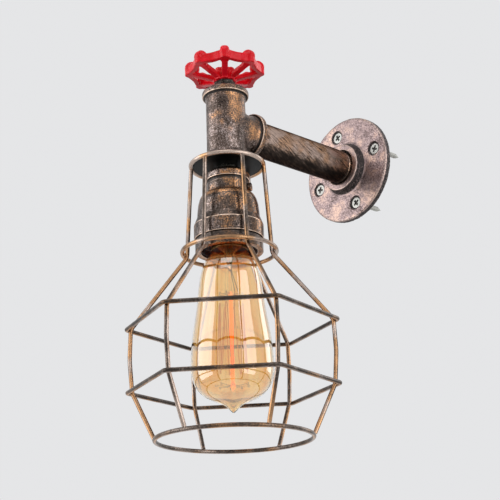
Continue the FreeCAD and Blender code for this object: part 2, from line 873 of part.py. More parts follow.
def glass_side(inset):
    """Side of the envelope from the end of the cap to its tip, moved inwards by the inset."""
    tip = bulb_tip_depth
    side = [(bulb_neck_r, 0), (bulb_shoulder_r, bulb_shoulder_depth), (bulb_taper_r, bulb_taper_depth),
            (bulb_swell_r, bulb_swell_depth), (bulb_r, bulb_widest_depth),
            (bulb_belly_r, tip - bulb_belly_rise), (bulb_turn_r, tip - bulb_turn_rise),
            (bulb_nose_r, tip - bulb_nose_rise), (bulb_point_r, tip - bulb_point_rise),
            (bulb_pip_r, tip - bulb_pip_rise), (bulb_tip_r, tip)]
    points = []
    for r, depth in side:
        lift = inset * (1 - r / bulb_r) if depth > bulb_widest_depth else 0
        points.append(Vector(r - inset, 0, bulb_cap_end - depth + lift))
    return points


def bulb_glass():
    """Pointed glass envelope of even wall."""
    neck_top = bulb_cap_end + bulb_neck_in_cap
    tip_z = bulb_cap_end - bulb_tip_depth - bulb_tip_round
    sides = []
    for inset in (0, glass_wall):
        curve = Part.BSplineCurve()
        curve.interpolate(glass_side(inset))
        sides.append(curve.toShape())
    outer, inner = glass_side(0), glass_side(glass_wall)
    tip, inner_tip = Vector(0, 0, tip_z), Vector(0, 0, tip_z + glass_wall)
    outer_top = Vector(outer[0].x, 0, neck_top)
    inner_top = Vector(inner[0].x, 0, neck_top)
    edges = [Part.makeLine(outer_top, outer[0]), sides[0], Part.makeLine(outer[-1], tip),
             Part.makeLine(tip, inner_tip), Part.makeLine(inner_tip, inner[-1]),
             sides[1], Part.makeLine(inner[0], inner_top), Part.makeLine(inner_top, outer_top)]
    face = Part.Face(Part.Wire(Part.sortEdges(edges)[0]))
    return face.revolve(Vector(0, 0, 0), UP, 360)


def mount_button_points(z):
    half = mount_button_half_height
    return [(mount_rod_r, z + half), (mount_rod_r + mount_button, z), (mount_rod_r, z - half)]


def bulb_stem():
    """Glass mount: a flare sealed in the neck, a pinched press and a long rod with two buttons."""
    flare_z = bulb_cap_end + bulb_neck_in_cap
    flare_r = bulb_neck_r - glass_wall - thread_gap
    rod_end = bulb_cap_end - bulb_tip_depth + mount_rod_end_rise
    side = [(0, flare_z), (flare_r, flare_z), (flare_r - mount_flare_slope, flare_z - mount_flare_slope),
            (mount_r, flare_z - mount_flare_height), (mount_r, bulb_cap_end - mount_press_depth),
            (mount_rod_r, bulb_cap_end - mount_rod_start_depth)]
    side += mount_button_points(filament_top_z) + mount_button_points(filament_bottom_z)
    return turned(side + [(mount_rod_r, rod_end), (0, rod_end)])


def filament_corners():
    """Points that the filament passes, down and up round the mount, from end to end."""
    step = (360.0 - filament_opening) / filament_legs
    corners = [around(filament_top_r, 0, filament_top_z)]
    for i in range(filament_legs):
        corners.append(around(filament_bottom_r, step * (i + 0.5), filament_bottom_z))
        corners.append(around(filament_top_r, step * (i + 1), filament_top_z))
    return corners


def filament():
    """One thin wire that zigzags between the upper and lower hooks, open at its two ends."""
    corners = filament_corners()
    pieces = [straight_wire(a, b, filament_r) for a, b in zip(corners, corners[1:])]
    pieces += [Part.makeSphere(filament_r, corner) for corner in corners[1:-1]]
    return fused(pieces)


def filament_supports():
    """Hooks from the glass rod's buttons to each inner corner of the filament."""
    hooks = []
    for corner in filament_corners()[1:-1]:
        out = Vector(corner.x, corner.y, 0).normalize()
        start = out * (mount_rod_r + mount_button + thread_gap) + Vector(0, 0, corner.z)
        end = corner - out * (filament_r + thread_gap)
        hooks.append(straight_wire(start, end, hook_r))
    return Part.makeCompound(hooks)


def filament_leads():
    """Two stiff wires from below the glass press to the filament's ends."""
    wires = []
    corners = filament_corners()
    for corner in (corners[0], corners[-1]):
        out = Vector(corner.x, corner.y, 0).normalize()
        start = out * lead_in_start_r + Vector(0, 0, bulb_cap_end - lead_in_depth)
        along = (corner - start).normalize()
        wires.append(straight_wire(start, corner - along * (filament_r + thread_gap), hook_r))
    return Part.makeCompound(wires)


# ---------------------------------------------------------------- wiring


def lead_wire(side):
    """Insulated wire from a terminal, up the threaded tube and along the pipe."""
    terminal = insulator_top + terminal_height
    inner = side * lead_spacing
    block = arm_reach + connector_y
    points = [Vector(side * terminal_offset, 0, terminal),
              Vector(side * terminal_offset, 0, terminal + lead_rise),
              Vector(inner, 0, tube_end - lead_rise / 2), Vector(inner, 0, 0),
              Vector(inner, block - 2 * lead_spread, 0), Vector(side * clamp_spacing, block - lead_spread, 0),
              Vector(side * clamp_spacing, block, 0)]
    path = bent_path(points, [lead_rise, lead_rise, lead_bend_r, 2 * lead_bend_r, 2 * lead_bend_r])
    return swept_wire(path, lead_r)


def lead_wires():
    return Part.makeCompound([lead_wire(-1), lead_wire(1)])


def clamp_bar(side, radius):
    """Bar along the connector block at one of its two ways."""
    start = Vector(side * clamp_spacing, connector_y, 0)
    return Part.makeCylinder(radius, connector_length, start, Vector(0, 1, 0))


def clamp_screw_holes(side, radius, low):
    top = connector_height - connector_drop
    screws = []
    for share in clamp_screw_shares:
        place = Vector(side * clamp_spacing, connector_y + share * connector_length, low)
        screws.append(Part.makeCylinder(radius, top - low, place))
    return screws


def connector_block():
    block = Part.makeBox(connector_width, connector_length, connector_height,
                         Vector(-connector_width / 2, connector_y, -connector_drop))
    cuts = []
    for side in (-1, 1):
        cuts.append(clamp_bar(side, clamp_r + thread_gap))
        cuts += clamp_screw_holes(side, clamp_screw_r + thread_gap, 0)
    return block.cut(cuts)


def connector_clamps():
    """Two brass ways, each with two clamp screws standing in the block's holes."""
    ways = []
    for side in (-1, 1):
        bar = clamp_bar(side, clamp_r).cut(clamp_bar(side, clamp_bore_r))
        ways.append(fused([bar] + clamp_screw_holes(side, clamp_screw_r, clamp_screw_low)))
    return Part.makeCompound(ways)


# ---------------------------------------------------------------- build

os.makedirs("parts", exist_ok=True)

save("wall_flange", wall_flange())
save("wall_screws", wall_screws())
save("arm_pipe", arm_pipe())
save("connector_block", connector_block())
save("connector_clamps", connector_clamps())

lamp_pieces = {
    "pipe_tee": pipe_tee,
    "top_bushing": top_bushing,
    "packing_nut": packing_nut,
    "valve_stem": valve_stem,
    "handwheel": handwheel,
    "wheel_washer": wheel_washer,
    "wheel_nut": wheel_nut,
    "bottom_bushing": bottom_bushing,
    "threaded_tube": threaded_tube,
    "tube_locknuts": tube_locknuts,
    "cage_disc": cage_disc,
    "socket_cap": socket_cap,
    "socket_collar": socket_collar,
    "socket_shell": socket_shell,
    "shade_ring": shade_ring,
    "retaining_ring": retaining_ring,
    "socket_insulator": socket_insulator,
    "contact_shell": contact_shell,
    "centre_contact": centre_contact,
    "terminal_screws": terminal_screws,
    "socket_lock_screw": socket_lock_screw,
    "bulb_contact": bulb_contact,
    "bulb_insulator": bulb_insulator,
    "bulb_cap": bulb_cap,
    "bulb_glass": bulb_glass,
    "bulb_stem": bulb_stem,
    "filament_supports": filament_supports,
    "filament_leads": filament_leads,
    "filament": filament,
    "lead_wires": lead_wires,
}
for name, make in lamp_pieces.items():
    save(name, make(), lamp_axis)

save("cage_top_ring", cage_ring(top_ring_r, top_ring_z), lamp_axis)
save("cage_middle_ring", cage_ring(middle_ring_r, middle_ring_z), lamp_axis)
save("cage_bottom_ring", cage_ring(bottom_ring_r, bottom_ring_z), lamp_axis)
save("cage_upper_hexagon", cage_hexagon(upper_hexagon_r, upper_hexagon_z), lamp_axis)
save("cage_lower_hexagon", cage_hexagon(lower_hexagon_r, lower_hexagon_z), lamp_axis)
for number, rod in enumerate(turn_copies(cage_rod(), rod_count, rod_turn), start=1):
    save("cage_rod_" + str(number), rod, lamp_axis)
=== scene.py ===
import math

import bmesh
import bpy
import numpy as np
from mathutils import Matrix, Vector


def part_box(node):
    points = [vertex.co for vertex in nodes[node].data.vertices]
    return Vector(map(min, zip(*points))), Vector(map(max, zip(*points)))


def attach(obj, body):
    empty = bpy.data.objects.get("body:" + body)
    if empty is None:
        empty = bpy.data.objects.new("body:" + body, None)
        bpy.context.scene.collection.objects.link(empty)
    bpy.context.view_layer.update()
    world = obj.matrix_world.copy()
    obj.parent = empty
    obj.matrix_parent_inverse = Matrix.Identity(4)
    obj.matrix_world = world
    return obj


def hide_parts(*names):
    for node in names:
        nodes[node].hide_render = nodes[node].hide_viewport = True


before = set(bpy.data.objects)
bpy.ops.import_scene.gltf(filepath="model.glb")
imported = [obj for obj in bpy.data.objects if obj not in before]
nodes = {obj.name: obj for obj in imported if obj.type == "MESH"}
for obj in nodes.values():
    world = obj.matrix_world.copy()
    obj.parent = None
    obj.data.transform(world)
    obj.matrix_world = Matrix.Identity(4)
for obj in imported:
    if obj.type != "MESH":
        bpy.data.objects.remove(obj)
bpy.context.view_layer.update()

MM = 0.001
ARM_REACH = 136.0
LAMP_AXIS = Vector((0, -ARM_REACH, 0))
FINISH = {}

# ---- node trees


class Value:
    """A node's socket that takes part in Python arithmetic."""

    def __init__(self, owner, socket):
        self.owner = owner
        self.socket = socket

    def __add__(self, other):
        return self.owner.math("ADD", self, other)

    __radd__ = __add__

    def __sub__(self, other):
        return self.owner.math("SUBTRACT", self, other)

    def __rsub__(self, other):
        return self.owner.math("SUBTRACT", other, self)

    def __mul__(self, other):
        return self.owner.math("MULTIPLY", self, other)

    def __rtruediv__(self, other):
        return self.owner.math("DIVIDE", other, self)

    def __abs__(self):
        return self.owner.math("ABSOLUTE", self)

    def step(self, low, high, start=0.0, end=1.0):
        """Smooth ramp from start to end while the value goes from low to high."""
        return self.owner.add("ShaderNodeMapRange", {0: self, 1: low, 2: high, 3: start, 4: end},
                              interpolation_type="SMOOTHSTEP")


class NodeTree:
    """A node tree that is built in Python."""

    def __init__(self, tree):
        self.tree = tree

    def put(self, node, inputs):
        """Links or sets the inputs of a node."""
        for key, value in inputs.items():
            if isinstance(value, Value):
                value = value.socket
            if isinstance(value, bpy.types.NodeSocket):
                self.tree.links.new(value, node.inputs[key])
            else:
                node.inputs[key].default_value = value

    def add(self, kind, inputs=None, output=0, **settings):
        """Adds a node: its settings first, then the values or links of its sockets."""
        node = self.tree.nodes.new(kind)
        for key, value in settings.items():
            setattr(node, key, value)
        self.put(node, inputs or {})
        return Value(self, node.outputs[output])

    def math(self, operation, *values):
        return self.add("ShaderNodeMath", dict(enumerate(values)), operation=operation)


class Finish(NodeTree):
    """A material, its principled shader and the nodes that feed it."""

    def __init__(self, name, **constants):
        FINISH[name] = bpy.data.materials.new(name)
        FINISH[name].use_nodes = True
        super().__init__(FINISH[name].node_tree)
        self.tree.nodes.clear()
        self.shader = self.tree.nodes.new("ShaderNodeBsdfPrincipled")
        self.put(self.tree.nodes.new("ShaderNodeOutputMaterial"), {"Surface": self.shader.outputs[0]})
        self.place = self.add("ShaderNodeTexCoord", output="Object")
        self.paint(**constants)

    def paint(self, **sockets):
        """Sets or links the shader's sockets, each by its own name in small letters."""
        self.put(self.shader, {key.replace("_", " ").title().replace("Ior", "IOR"): value
                               for key, value in sockets.items()})

    def noise(self, size, detail=2.0, roughness=0.5, vector=None):
        """Noise whose lumps are about size millimetres across."""
        place = vector or self.place
        return self.add("ShaderNodeTexNoise", {
            "Vector": place, "Scale": 1 / (size * MM), "Detail": detail, "Roughness": roughness})

    def axis(self, letter):
        """Place along the axis X, Y or Z in metres."""
        return self.add("ShaderNodeSeparateXYZ", {0: self.place}, letter)

    def mix(self, factor, a, b):
        return self.add("ShaderNodeMix", {0: factor, 6: a, 7: b}, 2, data_type="RGBA")

    def attribute(self, name):
        return self.add("ShaderNodeAttribute", output="Fac", attribute_name=name)

    def bump(self, height, distance, strength=1.0):
        return self.add("ShaderNodeBump", {"Strength": strength, "Distance": distance * MM, "Height": height})


# ---- finishes


def rgb(red, green, blue):
    return (red, green, blue, 1.0)


BLACK_BROWN = rgb(0.014, 0.011, 0.010)
UMBER = rgb(0.105, 0.074, 0.060)
COPPER = rgb(0.58, 0.29, 0.13)
PALE_COPPER = rgb(0.80, 0.60, 0.47)
ROSE_GREY = rgb(0.50, 0.41, 0.39)
# Near black of the painted shade in hollows.
SHADE_BLACK = rgb(0.006, 0.005, 0.004)
# Direction across the view along which the painted light turns the bronze from grey to copper.
LIGHT_SPLIT_AXIS = (0.6623, 0.7486)
WARM_BLEND = 8.0


def bronzed(name, dark=BLACK_BROWN, mid=UMBER, grey=ROSE_GREY, warm=COPPER, edge=PALE_COPPER, cover=0.0,
            grain=1.0, patch=0.35, roughness=0.34, depth=0.12, contrast=0.06, light_split=28.0, warm_from=None):
    """Blackened metal with copper rubbed over its grain, painted light that turns it grey on one side and
    copper on the other, and painted shade in its hollows.
    """
    f = Finish(name)
    speck = f.noise(0.85 * grain, 3.0, 0.65)
    fine = f.noise(0.40 * grain, 2.0, 0.6)
    cloud = f.noise(10.0, 3.0, 0.55)
    # Painted light: the tone goes from grey to copper across the view, as the side lamps fall on it.
    side = f.axis("X") * LIGHT_SPLIT_AXIS[0] + (f.axis("Y") + ARM_REACH * MM) * LIGHT_SPLIT_AXIS[1]
    warmth = side * light_split + (cloud - 0.5) * 3.0 + f.attribute("warm")
    if warm_from is not None:
        low, high = (warm_from - WARM_BLEND) * MM, (warm_from + WARM_BLEND) * MM
        warmth = warmth - f.axis("Z").step(low, high, 0.75, 0.0)
    level = speck * 0.65 + fine * 0.35 + (cloud - 0.5) * patch + cover + f.attribute("rub")
    tone = f.mix(warmth.step(-0.35, 0.35), grey, warm)
    colour = f.mix(level.step(0.49 - contrast * 2, 0.49), dark, mid)
    colour = f.mix(level.step(0.51, 0.51 + contrast * 2), colour, tone)
    worn = (f.attribute("wear") + (speck - 0.5) * 0.9).step(0.30, 0.62)
    colour = f.mix(worn, colour, edge)
    # Painted shade: near black in the hollows and other marked places.
    sooty = (f.attribute("soot") + (speck - 0.5) * 0.7).step(0.25, 0.7)
    colour = f.mix(sooty, colour, f.mix((fine * 0.5 + speck * 0.5).step(0.5, 0.62), SHADE_BLACK, mid))
    rough = roughness + (0.5 - level) * 0.45 + sooty * 0.2
    f.paint(base_color=colour, metallic=0.9 - sooty * 0.6, roughness=rough,
            normal=f.bump(speck * 0.6 + fine * 0.4, depth))


STREAK_TWIST, STREAK_SQUASH, LIT_BAND_FROM, LIT_BAND_TO = -34.0, 0.11, 7.0, 12.5


def pipe_iron():
    """Blackened pipe with fine brush-mark streaks of copper that climb round it, and painted light along it.
    """
    f = Finish("pipe_iron", specular_tint=rgb(0.35, 0.28, 0.23))
    turn = f.axis("Y") * STREAK_TWIST
    twist = f.add("ShaderNodeVectorRotate", {"Vector": f.place, "Axis": (0, 1, 0), "Angle": turn},
                  rotation_type="AXIS_ANGLE")
    along = f.add("ShaderNodeMapping", {"Vector": twist, "Scale": (1.0, STREAK_SQUASH, 1.0)})
    streak = f.noise(1.0, 3.0, 0.6, along)
    hair = f.noise(0.45, 2.0, 0.6, along)
    cloud = f.noise(13.0)
    fleck = f.noise(0.7, 2.0, 0.6)
    # Painted light: lighter along the pipe's two sides, painted shade along its top and bottom.
    lit_band = abs(f.axis("X")).step(LIT_BAND_FROM * MM, LIT_BAND_TO * MM, -0.10, 0.08)
    level = streak * 0.4 + hair * 0.3 + fleck * 0.3 + (cloud - 0.5) * 0.2 + lit_band
    tone = f.mix(cloud.step(0.38, 0.62), rgb(0.62, 0.37, 0.23), rgb(0.58, 0.43, 0.36))
    colour = f.mix(level.step(0.38, 0.50), BLACK_BROWN, rgb(0.060, 0.044, 0.036))
    colour = f.mix(level.step(0.48, 0.66) * 0.9, colour, tone)
    colour = f.mix((f.attribute("wear") + (fleck - 0.5) * 0.6).step(0.3, 0.7), colour, PALE_COPPER)
    f.paint(base_color=colour, metallic=0.9, roughness=0.30 + (0.5 - level) * 0.4,
            normal=f.bump(streak * 0.5 + fleck * 0.5, 0.07))


def cage_wire_finish():
    """Bronzed wire, dark as painted shade on the side that faces out or in and copper as a painted highlight
    on its flanks, over uneven rubbing.
    """
    f = Finish("cage_wire")
    cloud = f.noise(12.0)
    fine = f.noise(1.2, 3.0, 0.65)
    grit = f.noise(0.5, 2.0, 0.6)
    level = cloud * 0.4 + fine * 0.45 + grit * 0.15
    # The flank term paints a highlight along each wire's sides; the tint and noise are uneven rubbing.
    rub = f.attribute("flank").step(0.2, 0.8) * 0.5 + f.attribute("tint") * 0.6 + (level - 0.5) * 1.7
    tone = f.mix(f.noise(22.0, 1.0).step(0.44, 0.56), rgb(0.60, 0.33, 0.16), rgb(0.56, 0.44, 0.37))
    f.paint(base_color=f.mix(rub.step(0.05, 0.95), rgb(0.045, 0.035, 0.029), tone), metallic=0.9,
            roughness=0.30 + (0.5 - level) * 0.5, normal=f.bump(fine * 0.5 + grit * 0.5, 0.06))


def red_enamel():
    """Glossy red paint, with painted shade in the hollows, and thin on the edges."""
    f = Finish("wheel_red", coat_weight=0.08, coat_roughness=0.10, specular_ior_level=0.18)
    cloud = f.noise(9.0)
    peel = f.noise(1.6)
    chip = f.noise(0.9, 3.0, 0.7)
    thin = (f.attribute("wear") * 0.8 + (chip - 0.5) * 0.7).step(0.55, 0.85)
    red = f.mix(cloud.step(0.3, 0.7), rgb(0.80, 0.003, 0.010), rgb(0.96, 0.010, 0.026))
    colour = f.mix(thin * 0.6, red, rgb(0.98, 0.30, 0.30))
    colour = f.mix(f.attribute("soot").step(0.1, 0.7) * 0.7, colour, rgb(0.25, 0.0, 0.002))
    f.paint(base_color=colour, roughness=0.27 + (chip - 0.5) * 0.1, normal=f.bump(peel, 0.03))


def plain_metal(name, low, high, roughness, hollow):
    """Bare metal with fine handling marks, and a hollow colour where marked: painted shade in the recesses of
    screws and nuts, dark resin inside the bulb's cap.
    """
    f = Finish(name)
    cloud = f.noise(7.2, 3.0, 0.6)
    fine = f.noise(1.2, 3.0, 0.7)
    colour = f.mix((cloud * 0.6 + fine * 0.4).step(0.38, 0.62), low, high)
    sooty = f.attribute("soot")
    f.paint(base_color=f.mix(sooty, colour, hollow), metallic=1.0 - sooty * 0.8,
            roughness=roughness + (fine - 0.5) * 0.2, normal=f.bump(fine, 0.03))


def moulded(name, low, high, roughness, coat=0.0, gloss=0.5):
    """Moulded, fired or lacquered material with a faintly uneven skin."""
    f = Finish(name, coat_weight=coat, coat_roughness=0.08, specular_ior_level=gloss)
    cloud = f.noise(7.0)
    pore = f.noise(0.5, 2.0, 0.6)
    f.paint(base_color=f.mix(cloud.step(0.3, 0.7), low, high), roughness=roughness + (pore - 0.5) * 0.16,
            normal=f.bump(pore, 0.03))


NECK_GLOW_LOW, NECK_GLOW_TOP, GLOW_DEPTH, GLOW_HALF = -110.0, -99.0, 165.0, 36.0


def bulb_amber():
    """Clear glass with a thin gold coat, paler in slow vertical runs and redder in its neck."""
    f = Finish("bulb_glass", roughness=0.0, transmission_weight=1.0, ior=1.5, coat_weight=1.0,
               coat_roughness=0.0, coat_ior=2.0)
    stretched = f.add("ShaderNodeMapping", {"Vector": f.place, "Scale": (1.0, 1.0, 0.12)})
    runs = f.noise(7.0, vector=stretched)
    wave = f.noise(26.0, 1.0)
    colour = f.mix(runs.step(0.35, 0.65), rgb(0.98, 0.63, 0.26), rgb(1.0, 0.79, 0.44))
    neck = f.axis("Z").step(NECK_GLOW_LOW * MM, NECK_GLOW_TOP * MM)
    f.paint(base_color=f.mix(neck, colour, rgb(0.78, 0.25, 0.07)), normal=f.bump(wave, 0.25, 0.6))


def near_filament(f, full):
    """1 up to full millimetres from the filament's middle height, and 0 past its ends."""
    return abs(f.axis("Z") + GLOW_DEPTH * MM).step(full * MM, GLOW_HALF * MM, 1.0, 0.0)


def clear_glass():
    """Clear glass of the mount; its thin rod takes up the filament's orange glow."""
    f = Finish("mount_glass", roughness=0.0, transmission_weight=1.0, ior=1.5, emission_strength=1.0)
    cord = f.noise(3.0)
    lit = near_filament(f, 26.0)
    colour = f.mix(cord.step(0.3, 0.7), rgb(0.96, 0.90, 0.84), rgb(1.0, 0.97, 0.94))
    f.paint(base_color=f.mix(lit, colour, rgb(1.0, 0.30, 0.06)), normal=f.bump(cord, 0.12, 0.5),
            emission_color=f.mix(lit, rgb(0, 0, 0), rgb(0.90, 0.15, 0.01)))


def glowing_wire():
    """Carbon filament at a low orange glow, hottest between its hooks."""
    f = Finish("filament", roughness=0.5, emission_strength=0.38)
    colour = f.mix(near_filament(f, 12.0), rgb(0.75, 0.16, 0.02), rgb(1.0, 0.36, 0.06))
    flicker = f.noise(2.0, 1.0).step(0.3, 0.7)
    f.paint(base_color=rgb(0.25, 0.09, 0.03), emission_color=f.mix(flicker, colour, rgb(1.0, 0.45, 0.10)))


bronzed("flange_iron", rgb(0.085, 0.062, 0.058), rgb(0.28, 0.205, 0.20), rgb(0.44, 0.35, 0.355),
        rgb(0.52, 0.36, 0.29), rgb(0.66, 0.51, 0.43), cover=0.02, grain=1.2, patch=0.42, roughness=0.42,
        depth=0.10, contrast=0.05, light_split=0.0)
bronzed("fitting_iron", depth=0.16, roughness=0.36, warm_from=-4.0)
bronzed("valve_steel", rgb(0.012, 0.014, 0.012), rgb(0.06, 0.062, 0.055), rgb(0.34, 0.34, 0.30),
        rgb(0.32, 0.29, 0.24), rgb(0.55, 0.5, 0.43), cover=-0.02, grain=0.8, roughness=0.42)
bronzed("socket_bronze", patch=0.30, roughness=0.27, depth=0.05, cover=-0.01, mid=rgb(0.085, 0.062, 0.050))
pipe_iron()
cage_wire_finish()
red_enamel()
plain_metal("screw_zinc", rgb(0.40, 0.40, 0.375), rgb(0.50, 0.50, 0.465), 0.5, rgb(0.020, 0.014, 0.010))
plain_metal("contact_brass", rgb(0.50, 0.34, 0.13), rgb(0.72, 0.54, 0.25), 0.3, rgb(0.15, 0.038, 0.016))
moulded("disc_black", rgb(0.002, 0.002, 0.002), rgb(0.008, 0.008, 0.008), 0.32, gloss=0.06)
moulded("insulator_black", rgb(0.080, 0.015, 0.008), rgb(0.140, 0.030, 0.016), 0.25, coat=0.3)
moulded("wire_sleeve", rgb(0.012, 0.012, 0.013), rgb(0.03, 0.03, 0.03), 0.5)
moulded("connector_cream", rgb(0.72, 0.66, 0.52), rgb(0.80, 0.75, 0.62), 0.45)
bulb_amber()
clear_glass()
glowing_wire()

# ---- shape tools

MERGE_GAP, ARC_STEPS, WEAR_GAIN, ROWS_PER_TURN = 0.002, 4, 4, 12


def link(thing):
    """Puts an object into the scene."""
    bpy.context.scene.collection.objects.link(thing)
    return thing


def add_piece(name, mesh, slot, body="fixture", replaces=None, smooth_angle=38.0):
    """Piece that rides on a body in place of the named CAD nodes, or of the one with its own name."""
    piece = link(bpy.data.objects.new(name, mesh))
    mesh.materials.clear()
    mesh.materials.append(FINISH[slot])
    mesh.shade_smooth()
    mesh.set_sharp_from_angle(angle=math.radians(smooth_angle))
    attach(piece, body)
    if replaces is None:
        replaces = [name]
    if replaces:
        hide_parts(*replaces)


def mesh_of(name, vertices, faces=(), edges=()):
    """Mesh from points in millimetres."""
    mesh = bpy.data.meshes.new(name)
    mesh.from_pydata([tuple(c * MM for c in v) for v in vertices], edges, faces)
    mesh.update()
    return mesh


def joined(name, meshes, merge=False, face_out=False):
    """One mesh of several, with the points that meet merged and the faces turned out where asked."""
    work = bmesh.new()
    for mesh in meshes:
        work.from_mesh(mesh)
    if merge:
        bmesh.ops.remove_doubles(work, verts=work.verts, dist=MERGE_GAP * MM)
    if face_out:
        bmesh.ops.recalc_face_normals(work, faces=work.faces)
    result = bpy.data.meshes.new(name)
    work.to_mesh(result)
    work.free()
    return result


def moved(mesh, matrix):
    """The mesh after a turn and a shift in millimetres."""
    shift = matrix.translation * MM
    mesh.transform(Matrix.Translation(shift) @ matrix.to_3x3().to_4x4())
    return mesh


def rows_of(elements, key):
    """A vector of each of a mesh's elements, one row each."""
    rows = np.empty(len(elements) * 3)
    elements.foreach_get(key, rows)
    return rows.reshape(-1, 3)


def places_of(mesh):
    """Vertex places in millimetres, one row each."""
    return rows_of(mesh.vertices, "co") / MM


def band(values, low, high, soft=0.5):
    """1 where the values lie between low and high, with soft ends."""
    return np.clip((values - low) / soft, 0, 1) * np.clip((high - values) / soft, 0, 1)


def mark(mesh, name, values):
    """Stores a value for each vertex, or one for all of them."""
    layer = mesh.attributes.get(name) or mesh.attributes.new(name, "FLOAT", "POINT")
    amounts = np.empty(len(mesh.vertices), np.float32)
    amounts[:] = values
    layer.data.foreach_set("value", amounts)
    return mesh


def add_soot(mesh, more):
    """Adds to the mesh's marked darkening: painted shade in hollows, and dark resin in the bulb's cap."""
    had = np.zeros(len(mesh.vertices), np.float32)
    if "soot" in mesh.attributes:
        mesh.attributes["soot"].data.foreach_get("value", had)
    return mark(mesh, "soot", np.clip(had + more, 0, 1))


def mark_flanks(mesh):
    """Stores how far each vertex of a wire faces along the cage rather than out of it or into it."""
    out = places_of(mesh) - np.array(LAMP_AXIS)
    out[:, 2] = 0
    out /= np.linalg.norm(out, axis=1)[:, None]
    return mark(mesh, "flank", 1 - np.abs((rows_of(mesh.vertex_normals, "vector") * out).sum(1)))


def mark_wear(mesh, span, passes):
    """Stores how far each vertex stands out of its neighbours as wear, and how far it sinks in as painted
    shade.
    """
    count = len(mesh.vertices)
    places, normals = rows_of(mesh.vertices, "co"), rows_of(mesh.vertex_normals, "vector")
    ends = np.empty(len(mesh.edges) * 2, int)
    mesh.edges.foreach_get("vertices", ends)
    a, b = ends.reshape(-1, 2).T
    share = np.maximum(np.bincount(a, minlength=count) + np.bincount(b, minlength=count), 1)
    gap = places[a] - places[b]
    length = np.maximum(np.linalg.norm(gap, axis=1), 1e-9)
    lift = np.bincount(a, (normals[a] * gap).sum(1) / length, count)
    lift += np.bincount(b, -(normals[b] * gap).sum(1) / length, count)
    value = lift / share
    for _ in range(passes):
        value = (value + (np.bincount(a, value[b], count) + np.bincount(b, value[a], count)) / share) / 2
    mark(mesh, "wear", np.clip(value * span * WEAR_GAIN, 0, 1))
    mark(mesh, "soot", np.clip(-value * span * WEAR_GAIN, 0, 1))


def applied(source, kind, settings, inputs=None):
    """Plain mesh that a modifier makes of the source mesh."""
    worker = link(bpy.data.objects.new("worker", source))
    modifier = worker.modifiers.new(kind, kind)
    for key, value in settings.items():
        setattr(modifier, key, value)
    for identifier, value in (inputs or {}).items():
        modifier[identifier] = value
    bpy.context.view_layer.update()
    result = bpy.data.meshes.new_from_object(worker.evaluated_get(bpy.context.evaluated_depsgraph_get()))
    worker.modifiers.remove(modifier)
    bpy.data.objects.remove(worker)
    return result


class ShapeTree(NodeTree):
    """A Geometry Nodes tree with a named input for each of its sizes."""

    def __init__(self, name, **inputs):
        super().__init__(bpy.data.node_groups.new(name, "GeometryNodeTree"))
        sockets = self.tree.interface
        for way in ("OUTPUT", "INPUT"):
            sockets.new_socket("Geometry", in_out=way, socket_type="NodeSocketGeometry")
        self.values = {}
        for title, value in inputs.items():
            kind = "NodeSocketInt" if isinstance(value, int) else "NodeSocketFloat"
            self.values[sockets.new_socket(title, in_out="INPUT", socket_type=kind).identifier] = value
        self.inputs = self.tree.nodes.new("NodeGroupInput")

    def size(self, title):
        return Value(self, self.inputs.outputs[title])

    def lift(self, scale, detail, middle, depth):
        """Height over a surface, from noise that is level at its middle value."""
        field = self.add("ShaderNodeTexNoise", {
            "Vector": self.add("GeometryNodeInputPosition"), "Scale": scale, "Detail": detail})
        return (field - middle) * depth

    def raised(self, geometry, lift):
        """The geometry with its surface moved out by the lift."""
        normal = self.add("GeometryNodeInputNormal")
        offset = self.add("ShaderNodeVectorMath", {0: normal, "Scale": lift}, operation="SCALE")
        return self.add("GeometryNodeSetPosition", {"Geometry": geometry, "Offset": offset})

    def run(self, mesh, geometry, slot):
        """Ends the tree, runs it on the mesh and returns the plain mesh that it makes."""
        real = self.add("GeometryNodeRealizeInstances", {0: geometry})
        dressed = self.add("GeometryNodeSetMaterial", {0: real, "Material": FINISH[slot]})
        self.put(self.tree.nodes.new("NodeGroupOutput"), {0: dressed})
        return applied(mesh, "NODES", {"node_group": self.tree}, self.values)


def grained(mesh, lump_size, lump_depth, grain_size, grain_depth):
    """Uneven skin of a sand casting: slow lumps and fine grain."""
    t = ShapeTree("cast_skin", lump_size=lump_size, lump_depth=lump_depth, grain_size=grain_size,
                  grain_depth=grain_depth)
    lumps, grain = (t.lift((1 / MM) / t.size(part + "_size"), 1.5, 0.5, t.size(part + "_depth") * (2 * MM))
                    for part in ("lump", "grain"))
    return t.run(mesh, t.raised(t.size("Geometry"), lumps + grain), "fitting_iron")


def cast_copy(name, voxel, smooth, grain=None, span=1.0, wear_passes=3):
    """CAD shape as a casting: even quads, softened edges and an uneven skin."""
    mesh = joined("merged", [nodes[name].data], merge=True)
    mesh = applied(mesh, "REMESH", {"mode": "VOXEL", "voxel_size": voxel * MM})
    mesh = applied(mesh, "SMOOTH", {"factor": 0.5, "iterations": smooth})
    mark_wear(mesh, span, wear_passes)
    return grained(mesh, *grain) if grain else mesh


